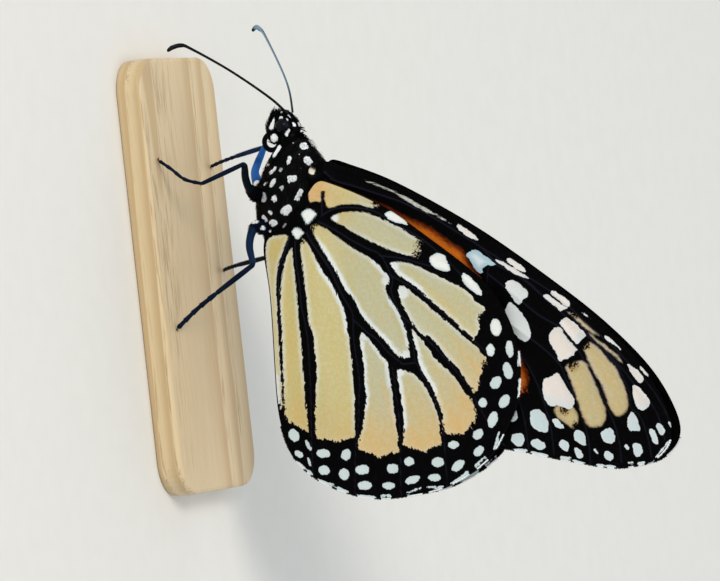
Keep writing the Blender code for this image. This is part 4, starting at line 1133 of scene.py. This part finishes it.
eye = {"centre": (-15.72, -1.05, 15.88), "radius": 0.84, "shape": (0.97, 0.95, 1.03), "facet": 0.06,
       "colour": "#030408", "glint": "#080B1A"}
palp = {"path": [(-13.8, -0.8, 15.0), (-14.3, -0.85, 14.68), (-15.5, -0.95, 14.52), (-16.4, -0.93, 14.78),
                 (-16.95, -0.86, 14.98), (-17.4, -0.8, 15.2)],
        "radii": (0.34, 0.46, 0.44, 0.38, 0.31, 0.2), "tufts": 3000, "length": 0.4, "under": 0.9,
        # White stripes between two places with the half width at each: one long, one a round patch
        "stripes": [((-16.55, -1.25, 15.0, 0.04), (-15.5, -1.36, 14.62, 0.29)),
                    ((-14.28, -1.3, 14.86, 0.46), (-14.28, -1.3, 14.86, 0.46))]}
foreleg = {"path": [(-11.6, -1.8, 14.15), (-12.2, -1.75, 14.55), (-13.1, -1.6, 15.25),
                    (-13.4, -1.55, 15.45), (-13.2, -1.5, 15.05), (-12.4, -1.55, 14.45),
                    (-11.8, -1.6, 14.05)],
           "radii": (0.24, 0.26, 0.24, 0.2, 0.16, 0.14, 0.1), "tufts": 1500, "length": 0.26, "under": 0.0,
           "stripes": [((-13.15, -1.8, 15.47, 0.24), (-12.3, -1.95, 14.76, 0.17))]}
tongue = {"centre": (-14.0, 0.0, 13.95), "outer": 1.2, "inner": 0.66, "turns": 3.0, "start": 100.0,
          "tube": (0.125, 0.115), "ring": 0.11, "ringRise": 0.06}
# The blue is a painted reflection of the sky on the glossy black cuticle; the black is the cuticle's own
# colour
limbColours = {"black": "#04060A", "blue": "#2B68BA", "gloss": "#8FA6B8"}


def eyeMaterial():
    # A compound eye: glossy cornea over dark blue-black facets, 0.02 mm wide in life, drawn coarser
    add, finish = startMaterial("eyeCornea")
    here = add("place")
    facets = add("minus", 1.0, add("facets", here, perMetre / eye["facet"]))
    broad = add("noise", here, perMetre / 0.5, 2.0, 0.5)
    colour = add("mix", add("spread", broad, 0.35, 0.7), eye["colour"], eye["glint"])
    return finish(Base_Color=colour, Roughness=0.28, IOR=1.42, Specular_IOR_Level=0.16,
                  Normal=add("bump", facets, 0.01 / perMetre, 0.5))


def limbMaterial():
    # Insect cuticle under fine flat scales: black, with a painted blue reflection of the sky that runs along
    # the limb, strongest on the far mid femur
    add, finish = startMaterial("legCuticle")
    here = add("place")
    scale = add("noise", here, perMetre / 0.1, 2.0, 0.6)
    broad = add("noise", here, perMetre / 1.4, 1.0, 0.5)
    # Painted blue reflection of the sky, by each piece's share and a broad noise
    share = add("times", add("spread", broad, 0.3, 0.6, 0.6, 1.0), "blueShare")
    colour = add("mix", share, limbColours["black"], limbColours["blue"])
    colour = add("mix", add("spread", "dot", -0.03, 0.03), colour, coatColours["dot"])
    return finish(Base_Color=colour, Normal=add("bump", scale, 0.02 / perMetre, 0.6),
                  Roughness=add("spread", scale, 0.2, 0.8, 0.3, 0.5), Specular_IOR_Level=0.14,
                  Specular_Tint=limbColours["gloss"])


def ellipsoid(centre, radii, axes, way=1.0):
    # centre + radii (way cos p, sin p cos a, sin p sin a) on the axes in their order: pole, 0 and 90
    # degrees. p runs from pole to pole and a is t turns, the other way round where way is -1.
    order = np.argsort(axes)

    def surface(s, t):
        p, a = math.pi * np.clip(s, 0.0, 1.0), way * math.tau * np.asarray(t)
        parts = np.stack([way * np.cos(p), np.sin(p) * np.cos(a), np.sin(p) * np.sin(a)], -1)
        return centre + parts[:, order] * radii

    return surface


def makeEyes():
    material = eyeMaterial()
    radii = eye["radius"] * np.array(eye["shape"])
    for sideName in sides:
        ball = ellipsoid(mirrored(eye["centre"], sideName), radii, (2, 0, 1))
        made = closedTube("cornea_" + sideName, ball, 40, 64, material, lambda points, s, t: {})
        place(made, "eye_glossy", "eye_" + sideName)


fur = {"dotLength": 0.24, "dotWidth": 0.15, "shortest": 0.14}


def furOn(name, surface, count, length, width, lift, seed, hair, dotFields, sRange=(0.0, 1.0), under=0.0):
    # Short hair over a limb, lying along it, with short broad white scales where the dots' depth is above 0
    s, t, random = scatter(surface, count, seed, sRange)
    here, normal, alongS, _ = surfaceFrame(surface, s, t)
    lie = combed(alongS, normal, random, 0.15)
    dot, shade = dotFields(here)
    values = coatValues(dot, shade, tone=random.uniform(size=len(s)))
    size = length * (0.7 + 0.6 * random.uniform(size=len(s)))
    size *= 1.0 + under * smoothStep((-0.2 - normal[:, 2]) / 0.5)
    near = smoothStep((0.1 - dot) / 0.35)
    size = np.where(dot > 0, fur["dotLength"], np.minimum(size, fur["shortest"] + size * near))
    coat = tuftMesh(name, here, normal, lie, size, np.where(dot > 0, fur["dotWidth"], width), hair, values,
                    np.stack([s, t], 1), 0.4, lift)
    place(coat, "hair_black")


def stripeFields(here, stripes, sideName):
    # Half width, which grows evenly from start to end, less the distance to the line between them
    depths = []
    for start, end in stripes:
        first, way = mirrored(start[:3], sideName), mirrored(np.subtract(end, start)[:3], sideName)
        share = np.clip((here - first) @ way / max(way @ way, 1e-9), 0.0, 1.0)
        half = start[3] + (end[3] - start[3]) * share
        depths.append(half - np.linalg.norm(here - first - share[:, None] * way, axis=1))
    return np.max(depths, axis=0), 1.0


wingRoot = {"centre": (-9.85, -1.75, 19.75), "size": (1.25, 0.75, 1.12), "tufts": 2400}


def makeWingRoots(skin, hair):
    # The hairy lobe that covers each forewing's root
    for sideName in sides:
        lobe = ellipsoid(mirrored(wingRoot["centre"], sideName), wingRoot["size"], (0, 1, 2), -1.0)
        made = closedTube("root_skin_" + sideName, lobe, 60, 64, skin,
                          lambda points, s, t: coatValues(*bodyDotFields(points)))
        place(made, "hair_black")
        furOn("coat_root_" + sideName, lobe, wingRoot["tufts"], 0.7, 0.065, 0.35, 19, hair, bodyDotFields)


def makeHeadParts(skin, hair, limb):
    for sideName in sides:
        for name, part in (("palp", palp), ("foreleg", foreleg)):
            def dots(here):
                return stripeFields(here, part["stripes"], sideName)

            surface = tubeSurface(mirrored(part["path"], sideName), part["radii"])
            made = closedTube(name + "_skin_" + sideName, surface, 80, 24, skin,
                              lambda points, s, t: coatValues(*dots(points)))
            place(made, "hair_black", name + "_" + sideName)
            furOn("coat_" + name + "_" + sideName, surface, part["tufts"], part["length"], 0.06, 0.7, 11,
                  hair, dots, under=part["under"])
    # The coiled tongue: a ringed tube along a flat spiral
    share = np.linspace(0.0, 1.0, 60)
    angle = math.radians(tongue["start"]) + math.tau * tongue["turns"] * share
    radius = tongue["outer"] + (tongue["inner"] - tongue["outer"]) * share
    spiral = tongue["centre"] + np.stack([radius * np.cos(angle), 0.0 * share, radius * np.sin(angle)], 1)
    surface = tubeSurface(spiral, np.interp(share, [0, 1], tongue["tube"]), 5, lambda length, s: (
        1.0 + tongue["ringRise"] * np.cos(math.tau * length / tongue["ring"])))
    made = closedTube("tongue_coil", surface, 700, 12, limb, lambda points, s, t: limbValues(points, 0.0))
    place(made, "cuticle_black", "proboscis")


antenna = {
    "left": [(-16.9, -0.7, 16.6), (-19.0, -2.7, 15.4), (-22.5, -6.6, 12.5), (-25.4, -10.2, 9.5),
             (-25.85, -11.1, 8.75), (-25.7, -11.8, 7.95), (-25.3, -12.3, 7.5)],
    "right": [(-17.1, 0.7, 16.6), (-19.7, 3.3, 15.4), (-22.4, 6.0, 13.6), (-26.6, 10.2, 10.3),
              (-27.5, 11.2, 9.3), (-27.8, 11.8, 8.6), (-27.4, 12.3, 7.9)],
    "radii": {"left": (0.16, 0.145, 0.14, 0.16, 0.25, 0.27, 0.16),
              "right": (0.13, 0.115, 0.11, 0.135, 0.24, 0.27, 0.16)},
    "segment": 0.42, "rise": 0.05, "cuticle": "#020304", "padNearHead": "#123740", "pad": "#7595B0",
}


def antennaMaterial():
    # Ringed black cuticle, with bare grey-blue sense pads along the underside and on the club; on the club's
    # side that faces -X, towards the key light, the grey-blue is a painted sheen
    add, finish = startMaterial("antennaCuticle")
    grain = add("noise", add("place"), perMetre / 0.1, 2.0, 0.5)
    pad = add("spread", add("plus", "padShare", add("times", add("minus", grain, 0.5), 0.35)), 0.45, 0.6)
    padAndSheenColour = add("mix", add("spread", "along", 0.05, 0.4), antenna["padNearHead"], antenna["pad"])
    return finish(Base_Color=add("mix", pad, antenna["cuticle"], padAndSheenColour), Roughness=0.4,
                  Normal=add("bump", grain, 0.01 / perMetre, 0.4), Specular_IOR_Level=0.12)


def makeAntennae():
    material = antennaMaterial()

    def ringed(length, s):
        # Each segment swells a little: 1 + rise |sin|
        return 0.97 + antenna["rise"] * np.abs(np.sin(math.pi * length / antenna["segment"])) ** 0.5

    for sideName, side in sides.items():
        surface = tubeSurface(antenna[sideName], antenna["radii"][sideName], 12, ringed)

        def pads(points, s, t):
            # Bare pads face inwards and down, more of them on the club, whose side facing -X also gets a
            # painted sheen and whose very end is dark again
            normal = surfaceFrame(surface, s, t)[1]
            facing = -side * normal[:, 1] * 0.75 - 0.35 * normal[:, 2]
            # Painted sheen: the club is paler on its side that faces -X, where the key light falls
            club = smoothStep((s - 0.85) / 0.1) * (0.12 + 0.9 * np.clip(-normal[:, 0] - 0.45, 0.0, 1.0))
            return {"along": s, "padShare": 0.38 + 0.5 * facing + club - smoothStep((s - 0.95) / 0.02)}

        made = closedTube("feeler_" + sideName, surface, 420, 20, material, pads)
        place(made, "cuticle_black", "antenna_" + sideName)


legs = {
    # Femur, tibia and foot: places from the body to the claws
    "mid_left": ([(-7.8, -1.3, 12.25), (-8.4, -2.4, 12.06), (-9.13, -3.4, 11.87), (-10.21, -4.2, 11.95),
                  (-11.17, -4.8, 12.23), (-11.84, -5.05, 12.37)],
                 [(-11.84, -5.05, 12.37), (-10.1, -7.2, 7.8)],
                 [(-10.1, -7.2, 7.8), (-10.78, -7.6, 5.93), (-12.13, -8.0, 4.55), (-13.25, -8.15, 3.2)]),
    "hind_left": ([(-3.84, -1.2, 12.67), (-4.52, -2.0, 12.17), (-4.47, -2.9, 11.8), (-3.58, -3.6, 11.55),
                   (-2.45, -4.3, 11.56), (-1.29, -4.8, 11.85), (-0.32, -5.0, 12.14)],
                  [(-0.32, -5.0, 12.14), (2.5, -6.8, 7.9)],
                  [(2.5, -6.8, 7.9), (4.1, -7.4, 5.5), (6.0, -8.1, 3.2)]),
    "mid_right": ([(-8.4, 0.9, 12.0), (-9.2, 1.6, 11.1), (-10.75, 2.4, 10.42), (-11.8, 3.0, 10.6),
                   (-12.7, 3.6, 10.87), (-13.65, 4.2, 11.2)],
                  [(-13.65, 4.2, 11.2), (-13.0, 5.4, 7.0)],
                  [(-13.0, 5.4, 7.0), (-12.6, 6.0, 4.9), (-12.2, 6.7, 3.2)]),
    "hind_right": ([(-3.9, 1.0, 12.3), (-3.0, 1.8, 11.6), (-2.0, 2.7, 11.3), (-1.0, 3.7, 10.2)],
                   [(-1.0, 3.7, 10.2), (-0.5, 5.7, 5.6)],
                   [(-0.5, 5.7, 5.6), (-0.3, 6.4, 4.2), (-0.1, 7.1, 3.2)]),
}
leg = {
    # Radii along each part, how much stouter some parts are, and how far the parts run into each other
    "femur": (0.8, 0.7, 0.48, 0.44, 0.4, 0.29), "tibia": (0.24, 0.28, 0.27, 0.23),
    "tarsus": (0.22, 0.21, 0.2, 0.2),
    "stout": {"hind_left_tibia": 1.15, "hind_left_tarsus": 1.4}, "lap": 0.14,
    # Joints of the foot; spines in a row, their length on the tibia and the foot, spurs and claws
    "joints": 5, "rows": {"tibia": 15, "tarsus": 8}, "spine": {"tibia": 0.36, "tarsus": 0.24},
    "spur": 0.525, "claw": 0.434,
    # Share of the femur that is hairy, and share of painted blue sky reflection, where they are not the
    # usual ones
    "hairy": {"mid_right": 0.13}, "usualHairy": 0.32, "usualBlueReflection": 0.04,
    "blue": {"mid_right_femur": 1.0, "mid_right_tibia": 0.18, "hind_left_femur": 0.1,
             "mid_left_femur": 0.01},
    # White patches on the first joints: place and radius
    "dots": np.array([(-9.49, 1.0, 11.07, 0.5), (-5.36, -2.7, 12.0, 0.52), (-4.34, -2.3, 12.63, 0.3)]),
}


def legDotFields(points):
    far = np.linalg.norm(points[:, None] - leg["dots"][None, :, :3], axis=2)
    return (leg["dots"][:, 3] - far).max(1), 1.0


def limbValues(points, blue):
    return {"dot": legDotFields(points)[0], "blueShare": np.full(len(points), blue)}


def footJoints(length, s):
    # Each joint of the foot widens to its end: 0.84 + 0.32 (share of the joint)^2
    return 0.84 + 0.32 * ((np.clip(s, 0, 0.9999) * leg["joints"]) % 1.0) ** 2


def makeLegs(material, hair):
    for name, parts in legs.items():
        groups = []

        def addTufts(here, grow, way, length, width, lift, bakeRoots):
            sizes = [np.full(len(here), size) for size in (length, width, lift)]
            groups.append([here, np.broadcast_to(grow, here.shape), unit(way), *sizes, bakeRoots])

        def addSpines(surface, s, t, rise, length, width, lift):
            # Spines at (s, t) that point along the limb and lean out from it by rise
            here, normal, alongS, _ = surfaceFrame(surface, s, t)
            addTufts(here, normal, rise * normal + alongS, length, width, lift, np.stack([s, t], 1))

        for part, path in zip(("femur", "tibia", "tarsus"), parts):
            path = evenly(np.array(path), 4) if part == "tibia" else np.array(path)
            # Each part runs a little into the next, so that a joint is as thick as they are
            if part != "femur":
                path[0] += leg["lap"] * unit(path[0] - path[1])
            if part != "tarsus":
                path[-1] += leg["lap"] * unit(path[-1] - path[-2])
            fullName = name + "_" + part
            blue = leg["blue"].get(fullName, leg["usualBlueReflection"])
            radii = np.interp(np.linspace(0, 1, len(path)), np.linspace(0, 1, len(leg[part])), leg[part])
            radii *= leg["stout"].get(fullName, 1.0)
            surface = tubeSurface(path, radii, 14, footJoints if part == "tarsus" else None)
            made = closedTube("limb_" + fullName, surface, 150, 22, material,
                              lambda points, s, t: limbValues(points, blue))
            place(made, "cuticle_black", "leg_" + fullName)
            if part == "femur":
                furOn("coat_hip_" + name, surface, 1300, 0.42, 0.06, 0.7, 17, hair, legDotFields,
                      (0.0, leg["hairy"].get(name, leg["usualHairy"])))
                continue
            along = np.linspace(0.08, 0.93, leg["rows"][part])
            for turn in (0.12, 0.62):
                addSpines(surface, along, np.full(len(along), turn), 0.7, leg["spine"][part], 0.05, 0.3)
            if part == "tibia":
                # Two spurs where the foot begins
                turns = np.array([0.3, 0.8])
                addSpines(surface, np.full(2, 0.96), turns, 0.45, leg["spur"], 0.11, 0.1)
        # Two hooked claws at the tip, one each side
        tip, forward = path[-1], unit((path[-1] - path[-2]) * (1.0, 1.0, 0.0))
        across = np.array([-forward[1], forward[0], 0.0])
        both = np.array([across, -across])
        addTufts(tip + 0.06 * both, (0.0, 0.0, 1.0), forward + 0.3 * both, leg["claw"], 0.13, 0.12,
                 np.array([(0.99, 0.1), (0.99, 0.6)]))
        roots, grow, ways, sizes, widths, lifts, bakeRoots = (np.concatenate(part) for part in zip(*groups))
        values = {"dot": np.full(len(roots), -1.0), "blueShare": np.zeros(len(roots))}
        spines = tuftMesh("spines_" + name, roots, grow, ways, sizes, widths, material, values, bakeRoots,
                          0.8, lifts)
        place(spines, "cuticle_black")


def makeFringe(name, kind, offset, sideName, hair):
    # Short scales along a wing's outer edge, white in the dashes and black at the veins
    steps = 16
    second, third = (corner * steps for corner in kind["corners"][1:3])
    path = smoothPath(kind["outline"], steps, closed=True)[second - steps:third + steps]
    length = np.linalg.norm(np.diff(path, axis=0), axis=1).sum()
    path = evenly(path, int(length / (wing["fringeWidth"] * 0.6)))
    count = len(path)
    way = unit(np.gradient(path, axis=0))
    out = np.stack([way[:, 1], -way[:, 0]], 1)
    out *= np.sign(np.einsum("ij,ij->i", out, path - np.array(kind["outline"]).mean(0)))[:, None]
    side = sides[sideName]
    random = np.random.default_rng(21)
    light = np.full(count, -0.5)
    for dash in kind["fringe"]:
        ends = [np.linalg.norm(path - np.array(end), axis=1).argmin() for end in dash]
        light[min(ends):max(ends) + 1] = 0.5
    root = path - out * 0.05
    roots = np.stack([root[:, 0], side * offset(root), root[:, 1]], 1)
    lie = np.stack([out[:, 0], np.zeros(count), out[:, 1]], 1)
    size = wing["fringeLength"] * (0.75 + 0.5 * random.uniform(size=count))
    values = coatValues(light, tone=random.uniform(size=count))
    grow = np.tile([0.0, side, 0.0], (count, 1))
    made = tuftMesh("fringe_" + name + "_" + sideName, roots, grow, lie, size, wing["fringeWidth"], hair,
                    values, wingBakePlace(kind, path, 0), 0.3, 0.0, 0.0)
    place(made, "wing_scales")


def makeWings(hair):
    for kindName, kind, offset in (("fore", fore, foreOffset), ("hind", hind, hindOffset)):
        flat = wingPlaces(kind)
        fields = wingMarkings(kind, flat)
        material = wingMaterial(kindName)
        for sideName in sides:
            makeWing(kindName + "wing", kind, offset, sideName, flat, fields, material)
            makeFringe(kindName + "wing", kind, offset, sideName, hair)
        print(kindName + "wings done,", len(flat) * 4, "triangles each")


# Stand, floor, light and camera

stand = {"wood": "#DCC59C", "woodDark": "#B99868", "pore": "#94744A",
         # The rings' width, and the (y, z) of the trunk's heart
         "ringWidth": 1.9, "heart": (-7.0, -26.0)}
studio = {
    "floor": "#E9E7E1", "floorShade": "#E4E2DB", "floorSize": 4000.0, "sky": "#E6EBF0", "skyPower": 0.74,
    # Lamps, all aimed at one place: where each is, its size in mm, its power and its colour
    "aim": (5.0, 0.0, 25.0),
    "lamps": {"keyLight": ((-560.0, -860.0, 900.0), 480.0, 8.6, "#FFF8EE"),
              "topLight": ((150.0, 150.0, 1200.0), 900.0, 2.4, "#F4F8FF")},
    # Camera: degrees, then mm; the aim is from the middle of the model
    "elevation": 22.0, "roll": 6.3, "distance": 800.0, "mmAcross": 82.08, "aimAhead": 4.14, "aimUp": -6.71,
}


def finishStand():
    # Ash, planed and waxed. Year rings are distances from the trunk's heart, which runs along the board
    # below it: each starts with a line of open pores, then darkens slowly towards its end.
    add, finish = startMaterial("ashWood")
    here = add("place")
    across, above = (add("minus", add("apart", here, output=axis), heart / perMetre)
                     for axis, heart in zip("YZ", stand["heart"]))
    fromHeart = add("root", add("plus", add("times", across, across), add("times", above, above)))
    sway = add("noise", add("stretched", here, (0.1, 1.0, 1.0)), perMetre / 9.0, 2.0, 0.5)
    rings = add("plus", add("times", fromHeart, perMetre / stand["ringWidth"]), add("times", sway, 1.6))
    year = add("fraction", rings)
    late = add("times", add("spread", year, 0.25, 0.92), add("spread", year, 1.0, 0.95))
    fibre = add("noise", add("stretched", here, (0.05, 1.0, 1.0)), perMetre / 0.3, 3.0, 0.6)
    pores = add("times", add("spread", year, 0.3, 0.02), add("spread", fibre, 0.5, 0.6))
    colour = add("mix", add("times", late, 0.62), stand["wood"], stand["woodDark"])
    colour = add("mix", add("spread", fibre, 0.45, 0.75, 0.0, 0.22), colour, stand["woodDark"])
    colour = add("mix", add("times", pores, 0.5), colour, stand["pore"])
    material = finish(Base_Color=colour, Roughness=add("spread", fibre, 0.3, 0.7, 0.4, 0.55),
                      Normal=add("bump", add("minus", fibre, pores), 0.05 / perMetre, 0.4))
    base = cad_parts["stand_base"]
    base.data.materials.clear()
    base.data.materials.append(material)


def makeStudio():
    add, finish = startMaterial("paperFloor")
    grain = add("noise", add("place"), perMetre / 3.0, 2.0, 0.5)
    paper = finish(Base_Color=add("mix", grain, studio["floor"], studio["floorShade"]), Roughness=0.9,
                   Normal=add("bump", grain, 0.02 / perMetre, 0.1))
    corners = studio["floorSize"] / 2.0 * np.array([(-1, -1, 0), (1, -1, 0), (1, 1, 0), (-1, 1, 0)])
    toMesh("floor", corners, [np.array([[0, 1, 2, 3]])], paper)

    scene = bpy.context.scene
    scene.view_settings.view_transform = "Standard"  # shows each colour as it is mixed
    scene.world = bpy.data.worlds.new("studio")
    scene.world.use_nodes = True
    sky = scene.world.node_tree.nodes["Background"].inputs
    sky["Color"].default_value = toLinear(studio["sky"])
    sky["Strength"].default_value = studio["skyPower"]
    for name, (spot, size, power, colour) in studio["lamps"].items():
        data = bpy.data.lights.new(name, "AREA")
        data.shape, data.size, data.energy = "SQUARE", size / perMetre, power
        data.color = toLinear(colour)[:3]
        lamp = bpy.data.objects.new(name, data)
        lamp.location = np.array(spot) / perMetre
        lamp.rotation_mode = "QUATERNION"
        way = mathutils.Vector(np.subtract(studio["aim"], spot))
        lamp.rotation_quaternion = way.to_track_quat("-Z", "Y")
        scene.collection.objects.link(lamp)

    # Camera: looks down by the elevation and is rolled so that the model's up points right
    elevation, roll = math.radians(studio["elevation"]), math.radians(studio["roll"])
    look = np.array([0.0, math.cos(elevation), -math.sin(elevation)])
    up = np.array([0.0, math.sin(elevation), math.cos(elevation)])
    ahead = np.array([1.0, 0.0, 0.0])
    right = math.sin(roll) * ahead + math.cos(roll) * up
    down = math.cos(roll) * ahead - math.sin(roll) * up
    middle = (lowest + highest) / 2.0
    target = np.array([middle[0] + studio["aimAhead"], 0.0, middle[2] + studio["aimUp"]])
    data = bpy.data.cameras.new("camera")
    data.sensor_width = 36.0
    data.lens = data.sensor_width * studio["distance"] / studio["mmAcross"]
    data.clip_start, data.clip_end = 0.01, 20.0
    camera = bpy.data.objects.new("camera", data)
    camera.matrix_world = mathutils.Matrix(np.column_stack([right, -down, -look])).to_4x4()
    camera.location = (target - studio["distance"] * look) / perMetre
    scene.collection.objects.link(camera)
    scene.camera = camera


makeStudio()
finishStand()
print("stage, lights and camera done")
skinChitin, bodyHair = skinMaterial(), coatMaterial()
makeBody(skinChitin, bodyHair)
makeNape(bodyHair)
legCuticle = limbMaterial()
makeEyes()
makeHeadParts(skinChitin, bodyHair, legCuticle)
makeWingRoots(skinChitin, bodyHair)
makeAntennae()
makeLegs(legCuticle, bodyHair)
print("head parts and limbs done")
makeWings(bodyHair)
